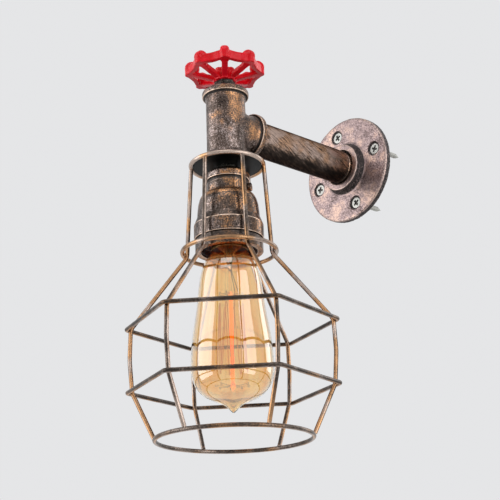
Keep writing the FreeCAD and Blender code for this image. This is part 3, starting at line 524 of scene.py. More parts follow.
def rounded(outline, radius, closed):
    """Outline of (radius, height[, corner radius[, wear]]) with round corners, and each point's wear."""
    corners = [Vector(c[:2]) for c in outline]
    count = len(corners)
    area = sum(a.x * b.y - b.x * a.y for a, b in zip(corners, corners[1:] + corners[:1]))
    points, wear = [], []
    for i, here in enumerate(corners):
        back, ahead = corners[i - 1] - here, corners[(i + 1) % count] - here
        end = not closed and i in (0, count - 1)
        straight = back.length < 1e-6 or ahead.length < 1e-6 or back.angle(ahead) > 3.05
        if end or straight or here.x < 1e-6:
            points.append(here)
            wear.append(0.0)
            continue
        turn = math.pi - back.angle(ahead)
        convex = (ahead.x * back.y - ahead.y * back.x) * area > 0
        wish = outline[i][2] if len(outline[i]) > 2 else radius
        cut = min(wish, back.length * 0.45, ahead.length * 0.45)
        start, stop = here + back.normalized() * cut, here + ahead.normalized() * cut
        for k in range(ARC_STEPS + 1):
            t = k / ARC_STEPS
            points.append(start * (1 - t) ** 2 + here * 2 * t * (1 - t) + stop * t ** 2)
            share = outline[i][3] if len(outline[i]) > 3 else min(1.0, turn)
            wear.append(math.sin(math.pi * t) * share if convex else 0.0)
    return points, wear


def lathe(name, outline, edge=0.3, segments=96, closed=True, centre=LAMP_AXIS, axis="Z"):
    """Turned mesh from an outline of (radius, height) pairs."""
    points, worn = rounded(outline, edge, closed)
    vertices, rings, wear = [], [], []
    for p, w in zip(points, worn):
        if p.x < 1e-6:
            rings.append([len(vertices)] * segments)
            vertices.append(Vector((0, 0, p.y)))
            wear.append(w)
        else:
            rings.append(list(range(len(vertices), len(vertices) + segments)))
            vertices += [Vector((p.x * math.cos(a), p.x * math.sin(a), p.y)) for a in
                         (2 * math.pi * k / segments for k in range(segments))]
            wear += [w] * segments
    faces = []
    for a, b in zip(rings, rings[1:] + rings[:1] * closed):
        for k in range(segments):
            after = (k + 1) % segments
            loop = list(dict.fromkeys((a[k], a[after], b[after], b[k])))
            if len(loop) > 2:
                faces.append(loop)
    if axis == "Y":
        vertices = [Vector((v.x, v.z, -v.y)) for v in vertices]
    mesh = mesh_of(name, [v + centre for v in vertices], faces)
    return mark(joined(name, [mesh], face_out=True), "wear", wear)


def ring_faces(rows, segments, first=0):
    """Quads between rows of points that each go once round."""
    return [[first + (j + down) * segments + (k + along) % segments
             for down, along in ((0, 0), (1, 0), (1, 1), (0, 1))]
            for j in range(rows) for k in range(segments)]


def spun(heights, segments, radius_at, centre=LAMP_AXIS, tipped=False):
    """Side with a ring at each height, whose radius follows from the height and the part of a turn."""
    vertices = []
    for z in heights:
        for k in range(segments):
            turn = k / segments
            r, a = radius_at(z, turn), 2 * math.pi * turn
            vertices.append(Vector((r * math.cos(a), r * math.sin(a), z)) + centre)
    rows = len(heights) - 1
    tip = [[rows * segments + k for k in range(segments)]] if tipped else []
    return mesh_of("side", vertices, ring_faces(rows, segments) + tip)


def helical(side, pitch, depth, low, high, segments=96):
    """Rolled thread whose ridge climbs one pitch a turn and fades at both ends."""
    def radius_at(z, turn):
        fade = min(1.0, (high - z) / pitch, (z - low) / pitch)
        wave = 0.5 + 0.5 * math.cos(2 * math.pi * (z / pitch - turn))
        return side - depth * fade * (1 - wave)

    rows = int((high - low) / pitch * ROWS_PER_TURN)
    return spun([high + (low - high) * j / rows for j in range(rows + 1)], segments, radius_at)


def welded(name, meshes):
    """Parts of one piece as one closed mesh that faces out, with no wear."""
    return mark(joined(name, meshes, True, True), "wear", 0.0)


def path_mesh(*paths, closed=False):
    """Lines of points in millimetres, as the paths of wires."""
    points, edges = [], []
    for path in paths:
        first = len(points)
        points += path
        last = len(points) - 1
        edges += [(i, i + 1) for i in range(first, last)] + [(last, first)] * closed
    return mesh_of("path", points, edges=edges)


def around(radius, degrees, z):
    """Point at an angle round the lamp axis."""
    a = math.radians(degrees)
    return Vector((radius * math.cos(a), radius * math.sin(a) - ARM_REACH, z))


def bent(corners, bends, closed=False, steps=8):
    """Points along straight runs whose corners are bent to the given radii."""
    points = []
    count = len(corners)
    for i, here in enumerate(corners):
        if not closed and i in (0, count - 1):
            points.append(here)
            continue
        back = (corners[i - 1] - here).normalized()
        ahead = (corners[(i + 1) % count] - here).normalized()
        half = back.angle(ahead) / 2
        radius = bends[i] if closed else bends[i - 1]
        reach = radius / math.tan(half)
        start = here + back * reach
        centre = here + (back + ahead).normalized() * (radius / math.sin(half))
        arm = start - centre
        axis = arm.cross(here + ahead * reach - centre).normalized()
        turn = math.pi - 2 * half
        points += [centre + Matrix.Rotation(turn * k / steps, 3, axis) @ arm for k in range(steps + 1)]
    return points


def wire(path, radius, slot, copies=1, sides=20, waver=0.0):
    """Round wire along a path, repeated round the lamp axis, with its ends closed."""
    t = ShapeTree("wire", wire_radius=radius, copies=copies, sides=sides, waver=waver)
    line = t.add("GeometryNodeMeshToCurve", {0: t.size("Geometry")})
    circle = t.add("GeometryNodeCurvePrimitiveCircle", {
        "Resolution": t.size("sides"), "Radius": t.size("wire_radius") * MM})
    tube = t.add("GeometryNodeCurveToMesh", {0: line, 1: circle, "Fill Caps": True})
    tube = t.raised(tube, t.lift(60.0, 2.0, 0.8, t.size("waver") * MM))
    centred = t.add("GeometryNodeTransform", {0: tube, "Translation": -LAMP_AXIS * MM})
    count = t.math("MAXIMUM", t.size("copies"), 3)
    spots = t.add("GeometryNodeMeshCircle", {"Vertices": count, "Radius": 0.0})
    index = t.add("GeometryNodeInputIndex")
    kept = t.add("FunctionNodeCompare", {2: index, 3: t.size("copies")}, data_type="INT",
                 operation="LESS_THAN")
    turn = t.add("ShaderNodeCombineXYZ", {"Z": index * (2 * math.pi / t.size("copies"))})
    placed = t.add("GeometryNodeInstanceOnPoints", {
        "Points": spots, "Selection": kept, "Instance": centred, "Rotation": turn})
    real = t.add("GeometryNodeRealizeInstances", {0: placed})
    back = t.add("GeometryNodeTransform", {0: real, "Translation": LAMP_AXIS * MM})
    return t.run(path, back, slot)


def add_cast(name, slot, *settings, body="fixture"):
    add_piece(name, cast_copy(name, *settings), slot, body, smooth_angle=180)


def add_turned(name, slot, outline, edge=0.3, segments=96, body="fixture", **bands):
    """Turned piece, with amounts stored over bands of its height, each as (low, high, amount)."""
    mesh = lathe(name, outline, edge, segments)
    height = places_of(mesh)[:, 2]
    for title, spans in bands.items():
        mark(mesh, title, sum(amount * band(height, low, high, 0.3) for low, high, amount in spans))
    add_piece(name, mesh, slot, body)


# ---- flange, pipe and tee

SCREW_CIRCLE_R, SCREW_COUNT, SCREW_START, SINK_R = 32.7, 4, 14.1, 6.0
FLANGE_R, FLANGE_THICKNESS, PLATE_FRONT = 44.4, 5.9, -5.0
HUB_BASE_R, HUB_TOP_R, HUB_SHADE_END = 20.9, 19.2, -12.6
BORE_SHADE_FROM, BORE_SHADE_TO, SINK_SHADE_FRONT, SINK_SHADE_BACK = 10.0, 14.4, -9.0, -0.4


def flange():
    """Cast flange with painted shade: black at the hub's foot, round the pipe, on the plate's side and in the
    screw holes.
    """
    mesh = cast_copy("wall_flange", 0.6, 3, (4.5, 0.16, 1.5, 0.08), 1.3)
    x, y, z = places_of(mesh).T
    from_centre = np.hypot(x, z)
    rim = band(from_centre, FLANGE_R - 0.6, FLANGE_R + 2, 0.3) * band(y, 1.4 - FLANGE_THICKNESS, 0.5)
    black = [band(from_centre, HUB_TOP_R - 0.4, HUB_BASE_R + 0.9) * band(y, HUB_SHADE_END, PLATE_FRONT),
             band(from_centre, BORE_SHADE_FROM, BORE_SHADE_TO) * 0.8, rim * 0.85]
    for i in range(SCREW_COUNT):
        turn = math.radians(SCREW_START + 360 / SCREW_COUNT * i)
        from_screw = np.hypot(x - SCREW_CIRCLE_R * math.cos(turn), z - SCREW_CIRCLE_R * math.sin(turn))
        black.append(band(from_screw, -1, SINK_R + 0.15) * band(y, SINK_SHADE_FRONT, SINK_SHADE_BACK))
    return add_soot(mesh, np.max(black, axis=0))


add_piece("wall_flange", flange(), "flange_iron", smooth_angle=180)

BEAD_START, BRANCH_BEAD_START, BEAD_COVE, BODY_SHADE_R = 25.1, 22.6, 1.6, 17.0


def tee():
    """Cast tee with painted shade: black in the cove behind each bead."""
    mesh = cast_copy("pipe_tee", 0.5, 2, (4.0, 0.14, 1.1, 0.14), 1.2, 2)
    x, y, z = (places_of(mesh) - np.array(LAMP_AXIS)).T
    run = band(np.abs(z), BEAD_START - BEAD_COVE, BEAD_START + 0.25) * (np.hypot(x, y) < BODY_SHADE_R)
    branch = band(y, BRANCH_BEAD_START - BEAD_COVE, BRANCH_BEAD_START + 0.25) * (np.hypot(x, z) < BODY_SHADE_R)
    return add_soot(mesh, np.maximum(run, branch))


add_piece("pipe_tee", tee(), "fitting_iron", smooth_angle=180)

PIPE_R, PIPE_BORE_R, PIPE_THREAD_R = 13.45, 10.85, 12.9
PIPE_WALL_END, PIPE_WALL_STEP, PIPE_TEE_STEP, PIPE_INNER_END = -1.0, -15.5, -109.0, -121.0
THREAD_PITCH, THREAD_DEPTH = 1.8, 0.5


def thread_rings(radius, start, stop):
    """Outline of a run of thread crests between two heights."""
    count = int(abs(stop - start) / THREAD_PITCH)
    step = (stop - start) / count
    outline = []
    for i in range(count):
        outline += [(radius, start + step * i), (radius - THREAD_DEPTH, start + step * (i + 0.5))]
    return outline + [(radius, stop)]


pipe_outline = [(PIPE_BORE_R, PIPE_WALL_END)] + thread_rings(PIPE_THREAD_R, PIPE_WALL_END, PIPE_WALL_STEP)
pipe_outline += [(PIPE_R, PIPE_WALL_STEP - 0.55), (PIPE_R, PIPE_TEE_STEP)]
pipe_outline += thread_rings(PIPE_THREAD_R, PIPE_TEE_STEP - 0.1, PIPE_INNER_END)
pipe_outline += [(PIPE_BORE_R, PIPE_INNER_END)]
add_piece("arm_pipe", lathe("arm_pipe", pipe_outline, 0.25, 128, centre=Vector(), axis="Y"), "pipe_iron")

DRIVE_RINGS, DRIVE_SEGMENTS, DRIVE_SLOPE = 30, 96, 0.5


def drive_face(radius, arm, width, depth, slot_only=False):
    """Round screw face, facing +Z at height 0, with a cross or a slot pressed into it."""
    vertices = [(0, 0, -depth)]
    for i in range(1, DRIVE_RINGS + 1):
        for k in range(DRIVE_SEGMENTS):
            a = 2 * math.pi * k / DRIVE_SEGMENTS
            x, y = radius * i / DRIVE_RINGS * math.cos(a), radius * i / DRIVE_RINGS * math.sin(a)
            along, across = (abs(x), abs(y)) if slot_only or abs(x) > abs(y) else (abs(y), abs(x))
            outside = max(along - arm, across - width)
            vertices.append((x, y, -depth * min(1.0, max(0.0, 0.5 - outside / DRIVE_SLOPE))))
    centre = [[0, 1 + k, 1 + (k + 1) % DRIVE_SEGMENTS] for k in range(DRIVE_SEGMENTS)]
    return mesh_of("drive", vertices, centre + ring_faces(DRIVE_RINGS - 1, DRIVE_SEGMENTS, 1))


SCREW_HEAD_R, SCREW_HEAD_TOP, SCREW_NECK_R, SCREW_SHANK_R = 4.6, 4.5, 2.4, 2.1
SCREW_TIP, SCREW_POINT, SCREW_PITCH, SCREW_THREAD, SCREW_ROWS = -25.5, 5.0, 1.9, 0.5, 130


def wall_screw():
    """Countersunk wood screw along +Z, its back face plane at height 0."""
    face_r, top = SCREW_HEAD_R - 0.5, SCREW_HEAD_TOP
    head = moved(drive_face(face_r, 2.6, 0.65, 1.2), Matrix.Translation((0, 0, top)))
    side = lathe("side", [(face_r, top), (SCREW_HEAD_R - 0.15, top - 0.08), (SCREW_HEAD_R, top - 0.35),
                          (SCREW_NECK_R, top - 2.3), (SCREW_NECK_R, 0), (SCREW_SHANK_R, -0.1)],
                 0.01, 96, False, Vector())

    def radius_at(z, turn):
        full = min(1.0, (z - SCREW_TIP) / SCREW_POINT)
        ridge = max(0.0, math.cos(2 * math.pi * (z / SCREW_PITCH - turn))) ** 2
        return max(0.02, (SCREW_SHANK_R - SCREW_THREAD * (1 - ridge) * min(1.0, -z / 1.5)) * full)

    thread = spun([SCREW_TIP * j / SCREW_ROWS for j in range(SCREW_ROWS + 1)], 32, radius_at, Vector(), True)
    screw = welded("wall_screw", [head, side, thread])
    x, y, z = places_of(screw).T
    # Painted shade: black in the cross recess of the head.
    return add_soot(screw, band(np.hypot(x, y), -1, 3.0, 0.1) * band(z, 3.0, 4.4, 0.2) * 0.85)


def screws_on_flange():
    """Four screws on the flange's circle, each turned on by its own amount."""
    t = ShapeTree("screw_circle", count=SCREW_COUNT, circle_radius=SCREW_CIRCLE_R, start_angle=SCREW_START,
                  drive_turn=25.0, drive_turn_step=40.0)
    degree = math.pi / 180
    flat = t.add("GeometryNodeMeshCircle", {
        "Vertices": t.size("count"), "Radius": t.size("circle_radius") * MM})
    upright = t.add("ShaderNodeCombineXYZ", {"X": math.pi / 2, "Y": t.size("start_angle") * -degree})
    circle = t.add("GeometryNodeTransform", {0: flat, "Rotation": upright})
    own_turn = t.size("drive_turn") + t.add("GeometryNodeInputIndex") * t.size("drive_turn_step")
    facing = t.add("ShaderNodeCombineXYZ", {"X": math.pi / 2, "Y": own_turn * degree})
    placed = t.add("GeometryNodeInstanceOnPoints", {
        "Points": circle, "Instance": t.size("Geometry"), "Rotation": facing})
    return t.run(wall_screw(), placed, "screw_zinc")


add_piece("wall_screws", screws_on_flange(), "screw_zinc")

# ---- valve

TEE_END, BUSHING_TOP, WHEEL_BASE, WHEEL_TOP, WASHER_TOP = 29.5, 31.5, 38.9, 45.9, 46.7
PLUG_R, PLUG_START, STEM_R, STEM_LOW = 12.9, 17.5, 4.0, 22.3
COLLAR_R, COLLAR_LOW, COLLAR_TOP = 6.4, 24.8, 27.2
STEM_SQUARE, STEM_TURN, STEM_THREAD_R, STEM_TOP = 6.0, -40.2, 2.5, 52.1

add_turned("top_bushing", "valve_steel", [
    (8.0, PLUG_START), (PLUG_R, PLUG_START), (PLUG_R, TEE_END), (11.0, TEE_END), (11.0, BUSHING_TOP),
    (STEM_R + 0.06, BUSHING_TOP), (STEM_R + 0.06, 27.5), (8.0, 27.5)], 0.4)
add_cast("packing_nut", "valve_steel", 0.3, 3, (2.5, 0.14, 0.9, 0.08))
add_cast("handwheel", "wheel_red", 0.42, 9, (6.0, 0.16, 2.2, 0.05), 1.1, 2, body="valve_wheel")
add_cast("wheel_nut", "screw_zinc", 0.2, 2, body="valve_wheel")
add_turned("wheel_washer", "screw_zinc", [
    (2.55, WHEEL_TOP), (5.2, WHEEL_TOP), (5.2, WASHER_TOP), (2.55, WASHER_TOP)], 0.2, 48, "valve_wheel")


def threaded_bar(name, side, bore, low, high, pitch, depth, segments=64):
    """Bar or tube with a rolled thread between two plain ends."""
    core = side - depth
    ends = [(bore, low), (side, low), (side, low + 0.05), (core, low + 0.3), (core, high - 0.3),
            (side, high - 0.05), (side, high), (bore, high)]
    thread = helical(side, pitch, depth, low + 0.05, high - 0.05, segments)
    return joined(name, [lathe("core", ends, 0.02, segments), thread])


def stem_square():
    """Square of the stem inside the wheel's hub."""
    work = bmesh.new()
    bmesh.ops.create_cube(work, size=1.0)
    height = WHEEL_TOP - WHEEL_BASE
    for v in work.verts:
        v.co = Vector((v.co.x * STEM_SQUARE, v.co.y * STEM_SQUARE, v.co.z * height)) * MM
    bmesh.ops.bevel(work, geom=work.edges, offset=0.3 * MM, segments=2, affect="EDGES", profile=0.5)
    mesh = bpy.data.meshes.new("stem_square")
    work.to_mesh(mesh)
    work.free()
    place = Matrix.Translation(around(0, 0, WHEEL_BASE + height / 2))
    return moved(mesh, place @ Matrix.Rotation(math.radians(STEM_TURN), 4, "Z"))


stem_shaft = lathe("stem_shaft", [
    (0, STEM_LOW), (STEM_R, STEM_LOW), (STEM_R, COLLAR_LOW), (COLLAR_R, COLLAR_LOW), (COLLAR_R, COLLAR_TOP),
    (STEM_R, COLLAR_TOP), (STEM_R, WHEEL_BASE), (0, WHEEL_BASE)], 0.3, 64)
stem_thread = threaded_bar("stem_thread", STEM_THREAD_R, 0.0, WHEEL_TOP, STEM_TOP, 0.8, 0.35, 48)
valve_stem = joined("valve_stem", [stem_shaft, stem_square(), stem_thread])
add_piece("valve_stem", valve_stem, "valve_steel", "valve_wheel")

# ---- hanger and cage disc

PLUG_END, DISC_BOTTOM, DISC_R, CAP_TOP, TUBE_R, TUBE_BORE_R = -30.4, -31.9, 25.68, -35.1, 4.9, 3.6
TUBE_HOLE_R = TUBE_R + 0.05
add_turned("bottom_bushing", "fitting_iron", [
    (TUBE_HOLE_R, PLUG_END), (14.9, PLUG_END), (14.9, -TEE_END), (PLUG_R, -TEE_END), (PLUG_R, -PLUG_START),
    (TUBE_HOLE_R, -PLUG_START)])
tube_low, tube_high = (corner.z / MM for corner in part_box("threaded_tube"))
tube = threaded_bar("threaded_tube", TUBE_R, TUBE_BORE_R, tube_low, tube_high, 1.0, 0.45)
add_piece("threaded_tube", tube, "contact_brass")
add_cast("tube_locknuts", "valve_steel", 0.3, 2)
add_turned("cage_disc", "disc_black", [
    (TUBE_HOLE_R, DISC_BOTTOM), (DISC_R, DISC_BOTTOM), (DISC_R, PLUG_END), (TUBE_HOLE_R, PLUG_END)],
    0.35, 128)

# ---- cage

WIRE_R, WELD_GAP, SEAT_GAP, KINK_DROP = 1.6, 0.02, 0.12, 2.4
TOP_RING, MIDDLE_RING, BOTTOM_RING = (27.3, -31.15), (34.4, -99.25), (55.0, -235.45)
UPPER_HEXAGON, LOWER_HEXAGON = (75.6, -153.65), (74.8, -199.75)
ROD_COUNT, ROD_TURN, CORNER_BEND, ROD_BEND, ROD_BOW, BOW_BEND = 6, 43.2, 4.0, 9.0, 1.6, 60.0


def ring_path(radius, z, count=120):
    return path_mesh([around(radius, 360 * i / count, z) for i in range(count)], closed=True)


def bend_offset(radius, turn):
    return radius * (1 / math.cos(turn / 2) - 1)


def by_each_rod(radius, z):
    """A point at the angle of each upright wire."""
    return [around(radius, ROD_TURN + 360 / ROD_COUNT * i, z) for i in range(ROD_COUNT)]


def hexagon_path(tip_r, z):
    corner_r = tip_r + bend_offset(CORNER_BEND, 2 * math.pi / ROD_COUNT)
    return path_mesh(bent(by_each_rod(corner_r, z), [CORNER_BEND] * ROD_COUNT, True), closed=True)


def rod_path():
    """First upright wire, bent at the middle ring and at both hexagons, and bowed out between them."""
    seat = 2 * WIRE_R + SEAT_GAP
    upper = Vector((UPPER_HEXAGON[0] - seat, UPPER_HEXAGON[1]))
    lower = Vector((LOWER_HEXAGON[0] - seat, LOWER_HEXAGON[1]))
    top = Vector((TOP_RING[0], TOP_RING[1] - WIRE_R - WELD_GAP))
    kink = Vector((MIDDLE_RING[0] - 2 * WIRE_R - WELD_GAP, MIDDLE_RING[1] - KINK_DROP))
    middle = (upper + lower) / 2 + Vector((ROD_BOW, 0))
    ring = Vector(BOTTOM_RING)
    upper_turn = math.pi - (kink - upper).angle(middle - upper)
    lower_turn = math.pi - (middle - lower).angle(ring - lower)
    upper.x += bend_offset(ROD_BEND, upper_turn)
    lower.x += bend_offset(ROD_BEND, lower_turn)
    end = ring + (lower - ring).normalized() * (WIRE_R + WELD_GAP)
    corners = [around(p.x, ROD_TURN, p.y) for p in (top, kink, upper, middle, lower, end)]
    return path_mesh(bent(corners, [ROD_BEND, ROD_BEND, BOW_BEND, ROD_BEND], steps=12))


def add_cage_wire(name, path, tint, copies=1, replaces=None):
    shaped = mark_flanks(wire(path, WIRE_R, "cage_wire", copies, waver=0.12))
    add_piece(name, mark(shaped, "tint", tint), "cage_wire", replaces=replaces)


add_cage_wire("cage_top_ring", ring_path(*TOP_RING), 1.1)
add_cage_wire("cage_middle_ring", ring_path(*MIDDLE_RING), 0.8)
add_cage_wire("cage_upper_hexagon", hexagon_path(*UPPER_HEXAGON), 0.22)
add_cage_wire("cage_lower_hexagon", hexagon_path(*LOWER_HEXAGON), 0.28)
add_cage_wire("cage_bottom_ring", ring_path(*BOTTOM_RING, 180), 0.45)
add_cage_wire("cage_rods", rod_path(), 0.40, ROD_COUNT, [f"cage_rod_{i + 1}" for i in range(ROD_COUNT)])


def weld_spots():
    """Places of the welds where each upright meets a ring or a hexagon."""
    spots = []
    for radius, z in ((TOP_RING[0], TOP_RING[1] - WIRE_R), (MIDDLE_RING[0] - WIRE_R - 0.1, MIDDLE_RING[1]),
                      (UPPER_HEXAGON[0] - 2 * WIRE_R + 0.4, UPPER_HEXAGON[1]),
                      (LOWER_HEXAGON[0] - 2 * WIRE_R + 0.4, LOWER_HEXAGON[1]),
                      (BOTTOM_RING[0] + 0.7, BOTTOM_RING[1] + WIRE_R - 0.2)):
        spots += by_each_rod(radius, z)
    return path_mesh(spots)


def cage_welds():
    """Small uneven weld beads, one at each joint of the wires."""
    t = ShapeTree("weld_beads", bead_radius=1.75, bead_flatness=0.62, seed=7)
    bead = t.add("GeometryNodeMeshIcoSphere", {"Radius": t.size("bead_radius") * MM, "Subdivisions": 4})
    bead = t.raised(bead, t.lift(700.0, 2.0, 0.6, 0.9 * MM))
    turn = t.add("FunctionNodeRandomValue", {0: (0, 0, 0), 1: (6.28, 6.28, 6.28), "Seed": t.size("seed")},
                 data_type="FLOAT_VECTOR")
    squash = t.add("ShaderNodeCombineXYZ", {"X": 1.0, "Y": 1.0, "Z": t.size("bead_flatness")})
    placed = t.add("GeometryNodeInstanceOnPoints", {
        "Points": t.size("Geometry"), "Instance": bead, "Rotation": turn, "Scale": squash})
    return t.run(weld_spots(), placed, "cage_wire")


welds = mark(mark_flanks(cage_welds()), "tint", 0.6)
add_piece("cage_welds", welds, "cage_wire", replaces=(), smooth_angle=180)

# ---- socket

CAP_SIDE_R, SHELL_R, RING_BORE_R = 15.2, 23.2, 23.25
CAP_SKIRT_END, NECK_END, SHELL_END, MOUTH = -46.9, -53.6, -97.4, -99.5

# Points in a straight side, such as the four below the cap's shoulder, bound its bands of painted shade,
# rubbing and sheen; the black band under the collar is a painted shadow.
add_turned("socket_cap", "socket_bronze", [
    (TUBE_HOLE_R, CAP_TOP), (9.2, CAP_TOP, 1.2), (13.4, -36.3, 1.0), (CAP_SIDE_R, -38.7, 1.0),
    (CAP_SIDE_R, -44.1), (CAP_SIDE_R, -44.4), (CAP_SIDE_R, -45.5), (CAP_SIDE_R, -46.0),
    (CAP_SIDE_R, CAP_SKIRT_END, 0.3), (14.6, CAP_SKIRT_END), (14.6, -51.9), (13.6, -51.9), (13.6, -38.7),
    (12.4, -37.2), (9.2, -36.6), (TUBE_HOLE_R, -36.6)], soot=[(-45.9, -43.9, 1.0)])
add_turned("socket_collar", "socket_bronze", [
    (15.25, -39.0), (16.6, -39.0, 0.6, 0.3), (16.6, -44.0, 0.6, 1.0), (15.25, -44.0)], 0.15,
    rub=[(-44.5, -38.5, 0.05)])
add_turned("socket_shell", "socket_bronze", [
    (14.65, -46.95), (15.8, -46.95, 0.3), (15.8, -52.9), (15.8, NECK_END, 0.5, 0.6), (19.8, -56.0, 1.1, 0.4),
    (21.3, -59.2, 1.5, 0.2), (21.7, -60.8), (22.3, -63.0, 2.0, 0.0), (SHELL_R, -72.0, 3.0, 0.0),
    (SHELL_R, SHELL_END), (22.2, SHELL_END), (22.2, -72.0), (21.3, -63.0), (20.3, -59.7), (18.8, -57.0),
    (14.65, -54.6)], 0.25, 128, rub=[(-59.6, -53.3, 0.09)], warm=[(-60.2, -53.0, 1.2)])
add_turned("shade_ring", "socket_bronze", [
    (RING_BORE_R, -73.8), (23.6, -73.8, 0.1, 0.1), (24.5, -76.1), (25.4, -78.5), (25.7, -79.2, 0.4, 1.0),
    (25.7, -80.2), (25.7, -90.0, 0.6, 1.0), (RING_BORE_R, -90.0)], 0.2, 128,
    rub=[(-78.6, -75.5, -0.04), (-90.5, -79.0, 0.02)])
add_turned("retaining_ring", "socket_bronze", [
    (RING_BORE_R, -90.6), (24.9, -90.6, 0.4, 0.0), (24.9, -98.4), (24.9, MOUTH, 0.8, 0.4), (24.0, MOUTH),
    (20.7, MOUTH, 0.4), (20.7, -97.45), (RING_BORE_R, -97.45)], 0.15, 128, soot=[(-98.6, -90.2, 0.45)],
    warm=[(-100, -98.8, 1.0)], rub=[(-100, -99.2, 0.08)])
add_turned("socket_insulator", "insulator_black", [
    (0, -62.0), (17.1, -62.0), (19.6, -64.5), (19.6, -84.0), (22.15, -84.0), (22.15, SHELL_END),
    (20.7, SHELL_END), (20.7, -92.5), (14.0, -92.5), (14.0, -67.0), (0, -67.0)], 0.5)

LAMP_PITCH = 3.62


def contact_shell():
    """Rolled sheet shell with the lamp's thread, seen from inside the socket's mouth."""
    low, high, outer, inner = -90.5, -67.0, 13.95, 13.6
    outside = helical(outer, LAMP_PITCH, 0.35, low, high)
    inside = helical(inner, LAMP_PITCH, 0.35, low, high)
    inside.flip_normals()
    rims = [lathe("rim", [(inner, z), (outer, z), (outer, z + 0.02), (inner, z + 0.02)], 0.005)
            for z in (low, high - 0.02)]
    return mark(joined("contact_shell", [outside, inside] + rims), "wear", 0.0)


add_piece("contact_shell", contact_shell(), "contact_brass")

LOCK_SCREW_TURN, LOCK_SCREW_Z = 33.0, -50.2


def lock_screw():
    """Slotted screw that points out from the socket's neck."""
    inner, seat, reach = 13.6, 15.85, 18.25
    face = moved(drive_face(2.75, 2.75, 0.4, 0.9, True), Matrix.Translation((0, 0, reach)))
    side = lathe("side", [(2.75, reach), (3.05, reach - 0.08), (3.2, reach - 0.35), (3.2, seat + 0.2),
                          (3.0, seat), (1.5, seat), (1.5, inner), (0, inner)], 0.01, 96, False, Vector())
    screw = welded("lock_screw", [face, side])
    tilt = Matrix.Rotation(math.radians(LOCK_SCREW_TURN), 4, "Z") @ Matrix.Rotation(math.pi / 2, 4, "Y")
    return moved(screw, Matrix.Translation(around(0, 0, LOCK_SCREW_Z)) @ tilt)


add_piece("socket_lock_screw", lock_screw(), "socket_bronze")

# ---- bulb

CAP_R, CAP_INNER_R, CAP_SHOULDER_R = 13.1, 12.0, 10.1
CAP_END, BULB_CAP_TOP, CONTACT_SEAT, CONTACT_TOP = -97.6, -76.9, -72.5, -70.7
add_turned("bulb_contact", "screw_zinc", [
    (0, CONTACT_SEAT), (4.6, CONTACT_SEAT), (4.6, -71.3, 0.5), (3.4, CONTACT_TOP, 0.5), (0, CONTACT_TOP)],
    0.3, 48, "bulb_slider")
add_turned("bulb_insulator", "insulator_black", [
    (0, BULB_CAP_TOP), (CAP_SHOULDER_R, BULB_CAP_TOP), (5.4, CONTACT_SEAT, 0.8), (0, CONTACT_SEAT)],
    0.3, 64, "bulb_slider")


def bulb_cap():
    """Screw cap with a rolled thread, a sloped shoulder and an open lower end."""
    slope_low, thread_low, under = BULB_CAP_TOP - 3.0, CAP_END + 1.6, BULB_CAP_TOP - 0.3
    thread = helical(CAP_R, LAMP_PITCH, 0.85, thread_low, slope_low)
    shoulder = lathe("shoulder", [(0, BULB_CAP_TOP), (CAP_SHOULDER_R, BULB_CAP_TOP, 0.8),
                                  (CAP_R, slope_low)], closed=False)
    skirt = lathe("skirt", [(CAP_R, thread_low), (CAP_R, CAP_END), (12.8, CAP_END),
                            (CAP_INNER_R, CAP_END + 2.0), (CAP_INNER_R, slope_low), (9.8, under),
                            (0, under)], 0.05, closed=False)
    cap = welded("bulb_cap", [thread, shoulder, skirt])
    # Dark resin inside the cap.
    x, y, _ = (places_of(cap) - np.array(LAMP_AXIS)).T
    return add_soot(cap, (np.hypot(x, y) < CAP_INNER_R + 0.1) * 1.0)


add_piece("bulb_cap", bulb_cap(), "contact_brass", "bulb")

GLASS_R, GLASS_WALL, GLASS_WIDEST, GLASS_NECK_TOP, GLASS_TIP = 29.4, 0.8, 84.0, -93.6, -217.5
GLASS_SIDE = [(12.6, 0.0), (18.8, 10.8), (24.4, 41.0), (28.4, 68.4), (GLASS_R, GLASS_WIDEST),
              (27.6, 98.4), (24.4, 103.6), (13.8, 110.8), (7.3, 113.6), (3.6, 116.8), (1.2, 119.3)]


def smooth_line(points, per_span=10):
    """Points on the natural cubic spline through the given ones."""
    p = np.array(points, float)
    h = np.linalg.norm(np.diff(p, axis=0), axis=1)
    n = len(p)
    system, right = np.eye(n), np.zeros_like(p)
    for i in range(1, n - 1):
        system[i, i - 1:i + 2] = h[i - 1], 2 * (h[i - 1] + h[i]), h[i]
        right[i] = 6 * ((p[i + 1] - p[i]) / h[i] - (p[i] - p[i - 1]) / h[i - 1])
    bend = np.linalg.solve(system, right)
    line = []
    for i in range(n - 1):
        for k in range(per_span):
            b = k / per_span
            a = 1 - b
            sag = ((a ** 3 - a) * bend[i] + (b ** 3 - b) * bend[i + 1]) * h[i] ** 2 / 6
            line.append(a * p[i] + b * p[i + 1] + sag)
    return [tuple(q) for q in line + [p[-1]]]


def glass_side(inset):
    """The glass's outer side, or its inner one when inset by the wall."""
    side = []
    for r, depth in GLASS_SIDE:
        lift = inset * (1 - r / GLASS_R) if depth > GLASS_WIDEST else 0
        side.append((r - inset, CAP_END - depth + lift))
    return smooth_line(side)


def bulb_glass():
    outer, inner = glass_side(0), glass_side(GLASS_WALL)
    outline = [(inner[0][0], GLASS_NECK_TOP), (outer[0][0], GLASS_NECK_TOP)] + outer
    outline += [(0, GLASS_TIP), (0, GLASS_TIP + GLASS_WALL)] + inner[::-1]
    return lathe("bulb_glass", outline, 0.0005, 160)


add_piece("bulb_glass", bulb_glass(), "bulb_glass", "bulb", smooth_angle=180)

ROD_R, BUTTON_TOP, BUTTON_LOW, ROD_END = 1.25, -131.5, -198.0, -200.5
PINCH_TOP, PINCH_FULL, PINCH_END, PINCH_SHARE = -98.0, -103.0, -113.0, 0.62


def button(z):
    return [(ROD_R, z + 2.0, 0.6), (ROD_R + 1.0, z, 0.6), (ROD_R, z - 2.0, 0.6)]


